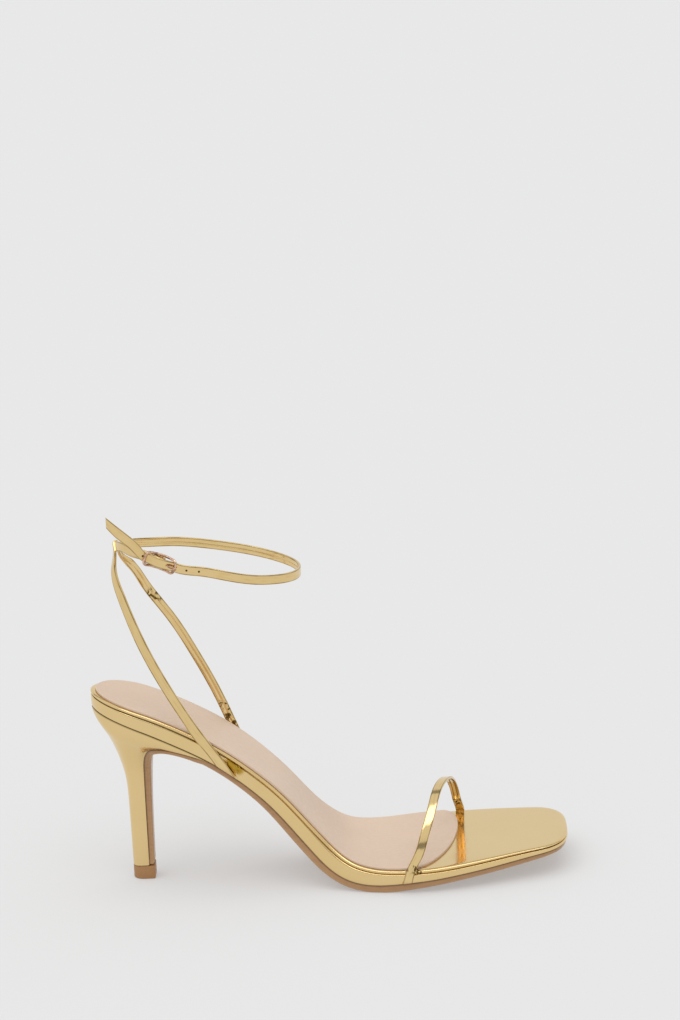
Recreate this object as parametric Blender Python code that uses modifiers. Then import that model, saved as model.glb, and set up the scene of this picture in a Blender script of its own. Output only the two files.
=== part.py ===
"""Strappy heeled sandal, a right shoe: sole, heel, insole, straps and buckle.

Metres, +Z up. +X runs from heel to toe and +Y to the inner side of the foot. The origin is the middle of the
wearing piece's underside, on the floor.
"""
import math

import bmesh
import bpy
import numpy as np

MM = 0.001

# The last: its length, widths and heights
LENGTH = 218 * MM  # from the heel's back to the toe's end, measured level
BACK = 20 * MM  # from the heel's back to the axis of the slim heel
BALL_WIDTH = 77.5 * MM
SEAT_DROP = 82.3 * MM  # from the back of the seat down to the ball
TOE_SPRING = 4.4 * MM
HEEL_ROUND = 24 * MM  # length of the rounding at the heel's end
TOE_ROUND = 17 * MM  # length of the rounding at the toe's end
TOE_SQUARENESS = 3.0  # 2 is an ellipse, more is squarer

# Layers of the sole
INSOLE = 1.7 * MM
MIDSOLE = 5.8 * MM
OUTSOLE = 3.5 * MM
LINING = 0.8 * MM
CLEARANCE = 0.3 * MM  # between pieces that touch
TREAD = 0.3 * MM  # how much of the ball's curve is worn flat
LINING_INSET = 1.1 * MM
LINING_HEEL_RIM = 1.3 * MM  # how much wider the rim round the lining is at the heel's end
OUTSOLE_INSET = 0.7 * MM
LINING_REACH = 168.5 * MM  # from the heel's back to the front of the lining
LINING_OUTER_ROUND = 26.5 * MM
LINING_INNER_ROUND = 8 * MM
LINING_TIP = 22 * MM  # how far to the inner side the lining reaches furthest

# The heel
TIP_HEIGHT = 6.4 * MM
TIP_BACK = 5.2 * MM
TIP_FRONT = 2.4 * MM
TIP_WIDTH = 9.4 * MM
TIP_EDGE = 0.45 * MM  # bevel round the underside of the wearing piece
FLARE_WIDTH = 43.5 * MM
WEDGE_REACH = 34 * MM  # how far the heel's thin wedge runs forward under the arch
BREAST_SOLE = 3.0 * MM  # thickness of the outsole on the front of the heel

# The straps
STRAP_WIDTH = 4.4 * MM
TOE_STRAP_WIDTH = 4.1 * MM
TAIL_WIDTH = 5.0 * MM  # upright, where the free end is cut off
STRAP = 1.2 * MM
STRAP_EDGE = 0.3 * MM
TUCK = 3.5 * MM  # how far a strap's end goes in under the midsole
FOLD = 1.0 * MM  # radius of a strap's bend under the midsole
SEWN = 0.3 * MM  # how deep the sling is sewn into the ankle strap
ANKLE_LENGTH = 85 * MM
ANKLE_WIDTH = 57 * MM
ANKLE_HEIGHT = 155 * MM
TOE_ARCH_HEIGHT = 28.8 * MM

# The buckle
BUCKLE_LENGTH = 14 * MM
WIRE = 0.6 * MM  # radius
PRONG_WIRE = 0.45 * MM
PRONG_OVERHANG = 1.0 * MM
BUCKLE_CORNER = 1.6 * MM


def spline(xs, ys):
    """A natural cubic spline through the points, as a function of numbers or arrays."""
    xs, ys = np.asarray(xs, float), np.asarray(ys, float)
    count = len(xs)
    step = np.diff(xs)
    slope = np.diff(ys) / step
    matrix, right = np.zeros((count, count)), np.zeros(count)
    matrix[0, 0] = matrix[-1, -1] = 1
    for i in range(1, count - 1):
        matrix[i, i - 1:i + 2] = step[i - 1], 2 * (step[i - 1] + step[i]), step[i]
        right[i] = 6 * (slope[i] - slope[i - 1])
    bend = np.linalg.solve(matrix, right)

    def value(x):
        i = np.clip(np.searchsorted(xs, x) - 1, 0, count - 2)
        t = x - xs[i]
        start = slope[i] - step[i] * (2 * bend[i] + bend[i + 1]) / 6
        return ys[i] + t * start + t * t * bend[i] / 2 + t ** 3 * (bend[i + 1] - bend[i]) / (6 * step[i])

    return value


def table(names, rows):
    """Rows with named columns. Each column but the first is read as a smooth function of the first."""
    columns = list(zip(*rows))
    return {name: spline(columns[0], column) for name, column in zip(names.split()[1:], columns[1:])}


# The footbed's height. Stations are shares of LENGTH, drop of SEAT_DROP and spring of TOE_SPRING.
BED = table("station drop spring", [
    (0.000, 1.000, 0.00),
    (0.100, 0.918, 0.00),
    (0.211, 0.785, 0.00),
    (0.294, 0.652, 0.00),
    (0.349, 0.536, 0.00),
    (0.404, 0.393, 0.00),
    (0.459, 0.221, 0.00),
    (0.487, 0.142, 0.00),
    (0.514, 0.078, 0.00),
    (0.541, 0.035, 0.00),
    (0.569, 0.013, 0.00),
    (0.606, 0.001, 0.00),
    (0.640, 0.000, 0.00),
    (0.706, 0.000, 0.12),
    (0.780, 0.000, 0.38),
    (0.872, 0.000, 0.71),
    (1.000, 0.000, 1.00),
])

# The outline in shares of BALL_WIDTH: its width, and how far its middle lies to the inner side.
OUTLINE = table("station width shift", [
    (0.000, 0.540, 0.000),
    (0.110, 0.566, 0.000),
    (0.230, 0.580, -0.005),
    (0.350, 0.562, -0.015),
    (0.430, 0.550, -0.019),
    (0.470, 0.588, -0.018),
    (0.514, 0.722, -0.012),
    (0.569, 0.872, -0.004),
    (0.630, 0.958, 0.005),
    (0.700, 1.002, 0.016),
    (0.762, 0.972, 0.027),
    (0.820, 0.908, 0.038),
    (0.900, 0.790, 0.056),
    (1.000, 0.650, 0.078),
])

# The thickness of each layer, in shares of INSOLE, MIDSOLE and OUTSOLE
LAYERS = table("station insole midsole outsole", [
    (0.000, 1.00, 0.90, 0.74),
    (0.090, 1.00, 1.00, 0.74),
    (0.180, 1.00, 1.04, 0.74),
    (0.275, 1.00, 0.98, 0.74),
    (0.370, 1.00, 0.97, 0.78),
    (0.460, 1.00, 1.02, 0.98),
    (0.546, 1.00, 1.13, 0.98),
    (0.606, 1.00, 0.91, 1.08),
    (0.679, 1.00, 0.67, 0.94),
    (0.761, 0.98, 0.53, 0.82),
    (0.826, 0.84, 0.49, 0.77),
    (0.890, 0.70, 0.41, 0.74),
    (0.960, 0.60, 0.28, 0.62),
    (1.000, 0.58, 0.24, 0.60),
])

# The heel from its seat down to the wearing piece. Down is the share of that way, back goes from TIP_BACK
# to BACK, front from TIP_FRONT to WEDGE_REACH and flare from TIP_WIDTH to FLARE_WIDTH. Sole is the
# outsole's thickness there in shares of BREAST_SOLE.
HEEL_ROWS = [
    (0.000, 0.980, 1.000, 1.000, 0.86),
    (0.017, 0.946, 0.819, 0.980, 0.72),
    (0.036, 0.892, 0.637, 0.941, 0.60),
    (0.060, 0.826, 0.440, 0.883, 0.58),
    (0.097, 0.716, 0.262, 0.795, 0.68),
    (0.137, 0.595, 0.139, 0.677, 0.90),
    (0.188, 0.453, 0.063, 0.531, 1.08),
    (0.245, 0.330, 0.028, 0.384, 1.10),
    (0.322, 0.195, 0.012, 0.232, 1.05),
    (0.414, 0.086, 0.006, 0.123, 1.00),
    (0.530, 0.034, 0.002, 0.056, 0.94),
    (0.700, 0.017, 0.000, 0.018, 0.87),
    (1.000, 0.000, 0.000, 0.000, 0.78),
]
HEEL = table("down back front flare sole", HEEL_ROWS)
HEEL_SETTLED = 0.16  # where down the heel its plan has left the shoe's outline for its own
HEEL_CORNER = 0.10  # share of the breast's half width that its rounded corners take

# The ankle strap from the buckle's bar round the back of the ankle, past the inner side and the front to
# the buckle again. Forward is a share of ANKLE_LENGTH, inner of half ANKLE_WIDTH, rise of ANKLE_HEIGHT.
ANKLE_ROUTE = [
    ("forward", "inner", "rise"),
    (0.058, -0.780, 1.0480),
    (-0.001, -0.526, 1.0530),
    (-0.036, -0.260, 1.0430),
    (-0.048, 0.000, 1.0290),
    (-0.036, 0.260, 1.0185),
    (-0.006, 0.474, 1.0142),
    (0.126, 0.772, 1.0032),
    (0.253, 0.926, 0.9948),
    (0.447, 0.996, 0.9780),
    (0.642, 1.000, 0.9568),
    (0.773, 0.930, 0.9400),
    (0.878, 0.684, 0.9290),
    (0.928, 0.281, 0.9258),
    (0.901, -0.175, 0.9290),
    (0.821, -0.561, 0.9394),
    (0.694, -0.818, 0.9529),
    (0.541, -0.961, 0.9761),
    (0.416, -1.005, 0.9935),
]
# The free end behind the buckle, in the same shares
TAIL_ROUTE = [
    ("forward", "inner", "rise"),
    (0.089, -1.060, 1.0710),
    (0.003, -1.123, 1.1206),
    (-0.059, -1.158, 1.1568),
]
BUCKLE_AT = (0.208, -1.018, 1.0265)
BUCKLE_AHEAD = (0.149, -0.021, -0.0320)  # from the middle of the buckle towards the toe, same shares

# The strap that rises from the arch, on the outer and the inner side, from its foot up to the ankle strap.
# Back is a share of ANKLE_LENGTH from the foot and reach of half ANKLE_WIDTH. Rise is the share of the way
# from the footbed at the foot up to ANKLE_HEIGHT. Facing is the level direction that the side away from the
# foot looks in, in degrees from the toe towards the inner side.
OUTER_LEG = [
    ("back", "reach", "rise", "facing"),
    (0.212, 0.842, 0.191, -90),
    (0.329, 0.842, 0.391, -92),
    (0.445, 0.754, 0.614, -99),
    (0.542, 0.526, 0.844, -124),
    (0.575, 0.290, 0.968, -150),
]
INNER_LEG = [
    ("back", "reach", "rise", "facing"),
    (0.183, 0.835, 0.250, 91),
    (0.282, 0.814, 0.432, 94),
    (0.405, 0.744, 0.634, 102),
    (0.524, 0.544, 0.810, 119),
    (0.599, 0.232, 0.951, 146),
]
# Where the straps' feet stand: the station, and the angle between the strap going down and the sole's edge
OUTER_LEG_FOOT = (0.293, 22)
INNER_LEG_FOOT = (0.329, 30)
OUTER_TOE_FOOT = (0.655, 107)
INNER_TOE_FOOT = (0.776, 87)
SLING_CROSSING = 57  # degrees between the sling and the ankle strap that it folds over
SLING_MIDDLE = -1.2 * MM  # where the fold lies, towards the inner side

# The toe strap over the foot, from the outer side to the inner. Lead is the share of the way from the outer
# foot forward to the inner one, across of half BALL_WIDTH, rise of TOE_ARCH_HEIGHT above the footbed.
TOE_ROUTE = [
    ("lead", "across", "rise"),
    (0.190, -0.968, 0.228),
    (0.310, -0.852, 0.493),
    (0.425, -0.671, 0.735),
    (0.510, -0.464, 0.915),
    (0.585, -0.232, 0.993),
    (0.655, -0.030, 1.000),
    (0.745, 0.220, 0.946),
    (0.835, 0.535, 0.752),
    (0.905, 0.800, 0.440),
    (0.950, 0.965, 0.180),
]

GOLD = {"color": (0.86, 0.66, 0.28), "metallic": 1.0, "roughness": 0.16}
PINK = {"color": (0.76, 0.58, 0.47), "metallic": 0.0, "roughness": 0.55}
TAN = {"color": (0.50, 0.27, 0.12), "metallic": 0.0, "roughness": 0.45}
ROSE = {"color": (0.90, 0.66, 0.48), "metallic": 1.0, "roughness": 0.18}


# Small step for the slope of a curve
NUDGE = LENGTH / 2000

# How the edges of the layers are rounded: inset in shares of the thickness, and how far down
INSOLE_EDGE = [(0.53, 0), (0.18, 0.10), (0, 0.45), (0.06, 0.8), (0.29, 1)]
MIDSOLE_EDGE = [(0.10, 0), (0.02, 0.07), (0, 0.3), (0, 0.85), (0.05, 1)]
LINING_EDGE = [(0.38, 0), (0, 0.4), (0, 1)]
OUTSOLE_EDGE = [(0.17, 0), (0, 0.2), (0, 0.6), (0.11, 0.88), (0.31, 1)]


def station(x):
    return (x + BACK) / LENGTH


def level(share):
    """The X of a station."""
    return share * LENGTH - BACK


def thickness(layer, x):
    full = {"insole": INSOLE, "midsole": MIDSOLE, "outsole": OUTSOLE}[layer]
    return full * LAYERS[layer](station(x))


def relief(x):
    """The footbed's height above the ball's."""
    return SEAT_DROP * BED["drop"](station(x)) + TOE_SPRING * BED["spring"](station(x))


def stack(x):
    """The layers' thickness together."""
    return sum(thickness(layer, x) for layer in ("insole", "midsole", "outsole")) + 2 * CLEARANCE


def ball_height():
    """How high the footbed stands over the floor at the ball, with the sole's lowest part worn flat."""
    x = level(np.linspace(0.5, 0.75, 100))
    return np.max(stack(x) - relief(x)) - TREAD


BALL_HEIGHT = ball_height()


def bed_height(x):
    return relief(x) + BALL_HEIGHT


def bed_point(x, y, depth):
    """The point at a depth under the footbed. The layers stack square to it, upright at the heel's back."""
    angle = np.arctan2(bed_height(x + NUDGE) - bed_height(x - NUDGE), 2 * NUDGE)
    lean = angle * np.clip(station(x) / 0.2, 0, 1) ** 2
    reach = depth / np.cos(angle - lean)
    return np.array([x + reach * np.sin(lean), y + 0 * x, bed_height(x) - reach * np.cos(lean)])


def roundness(share):
    """How much of its width the outline keeps near the heel's end and the toe's end."""
    heel = np.clip(1 - share * LENGTH / HEEL_ROUND, 0, 1)
    toe = np.clip(1 - (1 - share) * LENGTH / TOE_ROUND, 0, 1)
    return np.sqrt(1 - heel ** 2) * (1 - toe ** TOE_SQUARENESS) ** (1 / TOE_SQUARENESS)


def edge(share, side):
    """Y of the outline, side -1 for the outer edge and 1 for the inner."""
    return BALL_WIDTH * (OUTLINE["shift"](share) + side * OUTLINE["width"](share) / 2 * roundness(share))


def outline_stations(steps):
    """Stations from the heel's end to the toe's end, close together where the outline turns."""
    turn = np.linspace(0, math.pi / 2, steps + 1)
    heel = HEEL_ROUND / LENGTH * (1 - np.cos(turn))
    toe = 1 - TOE_ROUND / LENGTH * (1 - np.sin(turn) ** (2 / TOE_SQUARENESS))
    sides = np.linspace(heel[-1], toe[0], 3 * steps + 1)[1:-1]
    return np.concatenate([heel, sides, toe])


def rails(stations):
    """The outline's outer and inner edge as (X, Y) points."""
    x = level(stations)
    return [np.column_stack([x, edge(stations, side)]) for side in (-1, 1)]


def new_object(name, mesh_maker, material, home):
    """An object with its own material, from a bmesh that mesh_maker fills."""
    mesh = bpy.data.meshes.new(name)
    work = bmesh.new()
    mesh_maker(work)
    work.normal_update()
    bmesh.ops.recalc_face_normals(work, faces=work.faces)
    work.to_mesh(mesh)
    work.free()
    item = bpy.data.objects.new(name, mesh)
    home.objects.link(item)
    if material:
        mesh.materials.append(new_material(name, material))
        mesh.shade_smooth()
        mesh.set_sharp_from_angle(angle=math.radians(35))
    else:
        item.hide_render = True
        item.display_type = "WIRE"
    return item


def new_material(name, look):
    material = bpy.data.materials.new(name)
    material.use_nodes = True
    shader = material.node_tree.nodes["Principled BSDF"]
    shader.inputs["Base Color"].default_value = (*look["color"], 1)
    shader.inputs["Metallic"].default_value = look["metallic"]
    shader.inputs["Roughness"].default_value = look["roughness"]
    return material


def inset(loop, distance):
    """A closed flat loop of (X, Y) points moved inwards."""
    ahead, behind = np.roll(loop, -1, axis=0), np.roll(loop, 1, axis=0)
    run = ahead - behind
    run /= np.linalg.norm(run, axis=1)[:, None]
    area = np.sum(loop[:, 0] * ahead[:, 1] - ahead[:, 0] * loop[:, 1])
    inward = np.column_stack([-run[:, 1], run[:, 0]]) * math.copysign(1, area)
    return loop + inward * distance


def slab(outer, inner, profile, place):
    """A closed slab between two rails. Profile holds (inset, share of the thickness) from the top's edge over
    the side to the underside's edge. Place turns arrays of X and Y at a share into points."""
    closed = [np.allclose(outer[k], inner[k], atol=1e-6) for k in (0, -1)]
    left = list(range(len(outer)))
    back = list(range(len(inner)))[::-1]
    if closed[1]:
        back = back[1:]
    if closed[0]:
        back = back[:-1]
    loop = np.concatenate([outer, inner[back]])
    right = [left[0]] * closed[0] + list(range(len(left), len(loop)))[::-1] + [left[-1]] * closed[1]

    def make(work):
        rings = []
        for distance, share in profile:
            points = inset(loop, distance)
            rings.append([work.verts.new(spot) for spot in place(points[:, 0], points[:, 1], share).T])
        count = len(loop)
        for upper, lower in zip(rings, rings[1:]):
            for k in range(count):
                work.faces.new((upper[k], upper[(k + 1) % count], lower[(k + 1) % count], lower[k]))
        for ring in (rings[0], rings[-1]):
            for k in range(len(left) - 1):
                corners = (left[k], left[k + 1], right[k + 1], right[k])
                work.faces.new([ring[i] for i in dict.fromkeys(corners)])

    return make


def layer_place(top, bottom):
    """Points between two depths under the footbed, each a function of X."""
    def place(x, y, share):
        return bed_point(x, y, top(x) + share * (bottom(x) - top(x)))
    return place


def midsole_top(x):
    return thickness("insole", x) + CLEARANCE


def midsole_bottom(x):
    return midsole_top(x) + thickness("midsole", x)


def edge_profile(shape, gauge, inset_by=0):
    """The profile of a slab's edge from its shape in shares of the gauge."""
    return [(inset_by + share * gauge, down) for share, down in shape]


def make_insole(home, steps):
    profile = edge_profile(INSOLE_EDGE, INSOLE)
    place = layer_place(lambda x: 0 * x, lambda x: thickness("insole", x))
    return new_object("insole", slab(*rails(outline_stations(steps)), profile, place), GOLD, home)


def make_midsole(home, steps):
    profile = edge_profile(MIDSOLE_EDGE, MIDSOLE)
    place = layer_place(midsole_top, midsole_bottom)
    return new_object("midsole", slab(*rails(outline_stations(steps)), profile, place), GOLD, home)


def lining_rails(steps):
    """The lining's outer and inner edge. It ends in a skewed round front, further forward on the inner side."""
    front = LINING_REACH / LENGTH
    start = front - LINING_OUTER_ROUND / LENGTH
    stations = outline_stations(steps)
    arc = start + (front - start) * np.sin(np.linspace(0, math.pi / 2, steps + 1))
    stations = np.concatenate([stations[stations < start - 0.01], arc])
    heel = np.clip(1 - stations * LENGTH / HEEL_ROUND, 0, 1)
    sides = []
    for side, length in ((-1, LINING_OUTER_ROUND), (1, LINING_INNER_ROUND)):
        past = np.clip(1 - (front - stations) * LENGTH / length, 0, 1)
        y = LINING_TIP + (edge(stations, side) - LINING_TIP) * np.sqrt(1 - past ** 2)
        y = np.where(past > 0, y, edge(stations, side))
        sides.append(np.column_stack([level(stations) + LINING_HEEL_RIM * heel ** 2, y]))
    return sides


def make_lining(home, steps):
    profile = edge_profile(LINING_EDGE, LINING, LINING_INSET)
    place = layer_place(lambda x: -CLEARANCE - LINING, lambda x: -CLEARANCE)
    return new_object("sock_lining", slab(*lining_rails(steps), profile, place), PINK, home)


def seat_line():
    """X and Z along the heel's seat, just under the midsole."""
    x = np.linspace(-BACK, level(0.5), 200)
    points = bed_point(x, 0, midsole_bottom(x) + CLEARANCE)
    return points[0], points[2]


SEAT = seat_line()


def heel_height(x, down):
    seat = np.interp(x, *SEAT)
    return seat + down * (TIP_HEIGHT + CLEARANCE - seat)


def heel_span(down):
    """X of the heel's back and of its breast, and its half width, some way down."""
    back = -(TIP_BACK + (BACK - TIP_BACK) * HEEL["back"](down))
    front = TIP_FRONT + (WEDGE_REACH - TIP_FRONT) * HEEL["front"](down)
    return back, front, (TIP_WIDTH + (FLARE_WIDTH - TIP_WIDTH) * HEEL["flare"](down)) / 2


def heel_side(q, half):
    """Half width along the heel's own plan: round back, straight sides, small corners at the breast."""
    back = np.clip(1 - q / 0.5, 0, 1)
    corner = np.clip((q - 0.8) / 0.2, 0, 1)
    return half * np.sqrt(1 - back ** 2) * (1 - HEEL_CORNER * corner ** 2)


def heel_own(down):
    """How far the heel's plan has left the shoe's outline for its own, 0 to 1."""
    share = min(down / HEEL_SETTLED, 1)
    return share * share * (3 - 2 * share)


def heel_ring(down, steps):
    """One level of the heel: points from the back round the outer side, the breast and the inner side."""
    back, front, half = heel_span(down)
    turn = np.linspace(0, math.pi / 2, steps + 1)
    q = np.concatenate([0.5 * (1 - np.cos(turn)), np.linspace(0.5, 0.8, 3)[1:], [0.9, 1.0]])
    x = back + (front - back) * q
    own = heel_own(down)
    rows = []
    for side in (-1, 1):
        shoe = side * edge(station(x), side) - CLEARANCE
        y = side * np.maximum((1 - own) * shoe + own * heel_side(q, half), 0)
        y[0] = 0
        rows.append(np.column_stack([x, y]))
    return np.concatenate([rows[0], rows[1][:0:-1]])


def ring_loft(rings):
    """A closed solid through rings of points, each from the back round one side, the front and the other
    side. The first and the last ring are filled straight across."""
    def make(work):
        verts = [[work.verts.new(point) for point in ring] for ring in rings]
        count = len(verts[0])
        for upper, lower in zip(verts, verts[1:]):
            for k in range(count):
                work.faces.new((upper[k], upper[(k + 1) % count], lower[(k + 1) % count], lower[k]))
        for ring in (verts[0], verts[-1]):
            for k in range(count // 2):
                corners = (k, k + 1, (count - k - 1) % count, (count - k) % count)
                work.faces.new([ring[i] for i in dict.fromkeys(corners)])
    return make


def make_heel(home, steps, levels):
    rings = []
    for down in levels:
        ring = heel_ring(down, steps)
        rings.append([(x, y, heel_height(x, down)) for x, y in ring])
    return new_object("heel", ring_loft(rings), GOLD, home)


def make_top_piece(home, steps):
    """The wearing piece under the heel and under the outsole's end on the breast."""
    plan = heel_ring(1.0, steps)
    front = TIP_FRONT + CLEARANCE + BREAST_SOLE * HEEL["sole"](1.0)
    stretch = (front + TIP_BACK) / (TIP_FRONT + TIP_BACK)
    plan[:, 0] = (plan[:, 0] + TIP_BACK) * stretch - TIP_BACK
    rings = [[(x, y, z) for x, y in inset(plan, in_by)]
             for z, in_by in ((TIP_HEIGHT, 0), (TIP_EDGE, 0), (0, TIP_EDGE))]
    return new_object("top_piece", ring_loft(rings), TAN, home)


def sole_path(levels, spacing):
    """The outsole's upper side from the toe to the heel's tip as rows of X, Z, Y of both edges, thickness.
    Under the shoe it follows the midsole, then the wedge and the breast of the heel."""
    rows = []
    for share in outline_stations(spacing)[::-1]:
        x = level(share)
        if x < WEDGE_REACH + OUTSOLE / 2:
            break
        px, _, pz = bed_point(x, 0, midsole_bottom(x) + CLEARANCE)
        rows.append((px, pz, edge(share, -1), edge(share, 1), thickness("outsole", x)))
    for down in levels[1:]:
        _, front, half = heel_span(down)
        ahead = min(down + 0.004, 1.0)
        behind = ahead - 0.008
        run_x = heel_span(ahead)[1] - heel_span(behind)[1]
        run_z = heel_height(heel_span(ahead)[1], ahead) - heel_height(heel_span(behind)[1], behind)
        run = math.hypot(run_x, run_z)
        px = front - CLEARANCE * run_z / run
        pz = heel_height(front, down) + CLEARANCE * run_x / run
        own = heel_own(down)
        half_heel = half * (1 - HEEL_CORNER)
        outer, inner = [(1 - own) * edge(station(front), side) + own * side * (half_heel + OUTSOLE_INSET)
                        for side in (-1, 1)]
        rows.append((px, pz, outer, inner, BREAST_SOLE * HEEL["sole"](down)))
    return np.array(rows)


def make_outsole(home, steps, levels):
    path = sole_path(levels, steps)
    reach = np.concatenate([[0], np.cumsum(np.hypot(*np.diff(path[:, :2], axis=0).T))])
    line_x, line_z, depth = [spline(reach, path[:, k]) for k in (0, 1, 4)]

    def place(along, y, share):
        run_x = line_x(along + NUDGE) - line_x(along - NUDGE)
        run_z = line_z(along + NUDGE) - line_z(along - NUDGE)
        run = np.hypot(run_x, run_z)
        down = share * depth(along)
        floored = np.maximum(line_z(along) + down * run_x / run, 0)
        return np.array([line_x(along) - down * run_z / run, y, floored])

    outer, inner = [np.column_stack([reach, path[:, k]]) for k in (2, 3)]
    profile = edge_profile(OUTSOLE_EDGE, OUTSOLE, OUTSOLE_INSET)
    return new_object("outsole", slab(outer, inner, profile, place), TAN, home)


def ribbon(name, rows, gauge, edge_round, home, material, spacing):
    """A strap through rows of its middle point and its half width as a vector: a flat strip made solid."""
    rows = np.array(rows).reshape(len(rows), 6)
    reach = np.concatenate([[0], np.cumsum(np.linalg.norm(np.diff(rows[:, :3], axis=0), axis=1))])
    middle = [spline(reach, column) for column in rows.T[:3]]
    at = [0.0]
    for start, end in zip(reach, reach[1:]):
        pieces = max(1, round((end - start) / spacing))
        at += list(start + (end - start) * (np.arange(pieces) + 1) / pieces)

    def make(work):
        strip = []
        for s in at:
            point = np.array([curve(s) for curve in middle])
            half = np.array([np.interp(s, reach, column) for column in rows.T[3:]])
            strip.append([work.verts.new(point - half), work.verts.new(point + half)])
        for (a, b), (c, d) in zip(strip, strip[1:]):
            work.faces.new((a, b, d, c))

    item = new_object(name, make, material, home)
    solid = item.modifiers.new("thickness", "SOLIDIFY")
    solid.thickness = gauge
    solid.offset = 0
    solid.use_even_offset = True
    if edge_round:
        rounding = item.modifiers.new("rounded edges", "BEVEL")
        rounding.width = edge_round
        rounding.segments = 1
        rounding.limit_method = "ANGLE"
        rounding.angle_limit = math.radians(60)
    return item


def wrap(x, down, side):
    """A point of a strap on the side of the sole. Down is measured from the footbed over the side, round
    the midsole's lower edge and on along its underside. Side is -1 on the shoe's outer edge."""
    corner = foot_corner(x)
    turn = min(max((down - corner) / FOLD, 0), math.pi / 2)
    past = max(down - corner - FOLD * math.pi / 2, 0)
    depth = min(down, corner) + FOLD * math.sin(turn)
    inward = FOLD * (1 - math.cos(turn)) + past
    return bed_point(x, edge(station(x), side) + side * (CLEARANCE + STRAP / 2 - inward), depth)


def foot_corner(x):
    """How far down the side of the sole a strap starts to bend under the midsole."""
    return midsole_bottom(x) - STRAP / 2 - FOLD


def foot(place, side, width, extra=0):
    """Rows of a strap's lower end, down the side of the sole and in under the midsole. They run along the
    sole's edge, at an angle to the strap."""
    share, angle = place[0], math.radians(place[1])
    x0 = level(share)
    corner = foot_corner(x0)
    steps = [corner * part for part in (0.1, 0.55, 1)]
    steps += [corner + FOLD * turn for turn in np.radians([30, 60, 90])]
    steps += [steps[-1] + TUCK / 2, steps[-1] + TUCK + extra]
    level_share = 1 / math.hypot(1, (bed_height(x0 + NUDGE) - bed_height(x0 - NUDGE)) / (2 * NUDGE))
    half = (width / 2 + extra) / math.sin(angle) * level_share
    rows = []
    for down in steps:
        x = x0 + (down - corner) / math.tan(angle) * level_share
        heelward, toeward = wrap(x - half, down, side), wrap(x + half, down, side)
        rows.append(((heelward + toeward) / 2, (toeward - heelward) / 2))
    return rows


def across(rows, width):
    """Rows of middle points and half widths from middle points and the directions that the strap faces in."""
    middles = np.array([row[0] for row in rows])
    runs = np.gradient(middles, axis=0)
    halves = [np.cross(run, face) for run, (_, face) in zip(runs, rows)]
    return [(middle, half * width / 2 / np.linalg.norm(half)) for middle, half in zip(middles, halves)]


def toe_strap_rows():
    outer = foot(OUTER_TOE_FOOT, -1, TOE_STRAP_WIDTH)[::-1]
    inner = foot(INNER_TOE_FOOT, 1, TOE_STRAP_WIDTH)
    start, end = level(OUTER_TOE_FOOT[0]), level(INNER_TOE_FOOT[0])
    faces = [(outer[-1][0], (0, -1, 0))]
    for lead, reach, rise in TOE_ROUTE[1:]:
        x = start + (end - start) * lead
        middle = np.array([x, reach * BALL_WIDTH / 2, bed_height(x) + rise * TOE_ARCH_HEIGHT])
        turn = math.pi / 2 * reach
        faces.append((middle, (0, math.sin(turn), math.cos(turn))))
    faces.append((inner[0][0], (0, 1, 0)))
    return outer + across(faces, TOE_STRAP_WIDTH)[1:-1] + inner


def ankle_point(forward, inner, rise):
    return np.array([forward * ANKLE_LENGTH, inner * ANKLE_WIDTH / 2, rise * ANKLE_HEIGHT])


def upright(middles, width):
    """Rows of a strap whose width stands as upright as its run allows."""
    runs = np.gradient(np.array(middles), axis=0)
    rows = []
    for middle, run in zip(middles, runs):
        half = np.array([0, 0, 1.0]) - run * run[2] / np.dot(run, run)
        rows.append((middle, half * width / 2 / np.linalg.norm(half)))
    return rows


def buckle_axes():
    """The middle of the buckle and its directions: ahead along the strap, up across it, and out."""
    middle = ankle_point(*BUCKLE_AT)
    ahead = ankle_point(*BUCKLE_AHEAD)
    ahead /= np.linalg.norm(ahead)
    out = np.cross(ahead, (0, 0, 1.0))
    out /= np.linalg.norm(out)
    return middle, ahead, np.cross(out, ahead), out


def buckle_point(ahead_by, up_by, out_by):
    middle, ahead, up, out = buckle_axes()
    return middle + ahead * ahead_by + up * up_by + out * out_by


BAR_OUT = -(STRAP + CLEARANCE) / 2 - WIRE - CLEARANCE / 2  # how far in the buckle's middle bar lies
BOW = BAR_OUT + WIRE + 2 * CLEARANCE + 1.5 * STRAP  # how far out the strap passes over the bar
END_OUT = STRAP / 2 + CLEARANCE + WIRE  # how far out the buckle's end bars lie
LAP = STRAP + CLEARANCE  # between the free strap and the fixed one under it
FOLD_RADIUS = WIRE + CLEARANCE + STRAP / 2


def bow(ahead_by):
    """How far out the strap lies along the buckle."""
    share = np.clip(abs(ahead_by) / (0.5 * BUCKLE_LENGTH), 0, 1)
    return BOW * math.cos(share * math.pi / 2) ** 2


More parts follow.
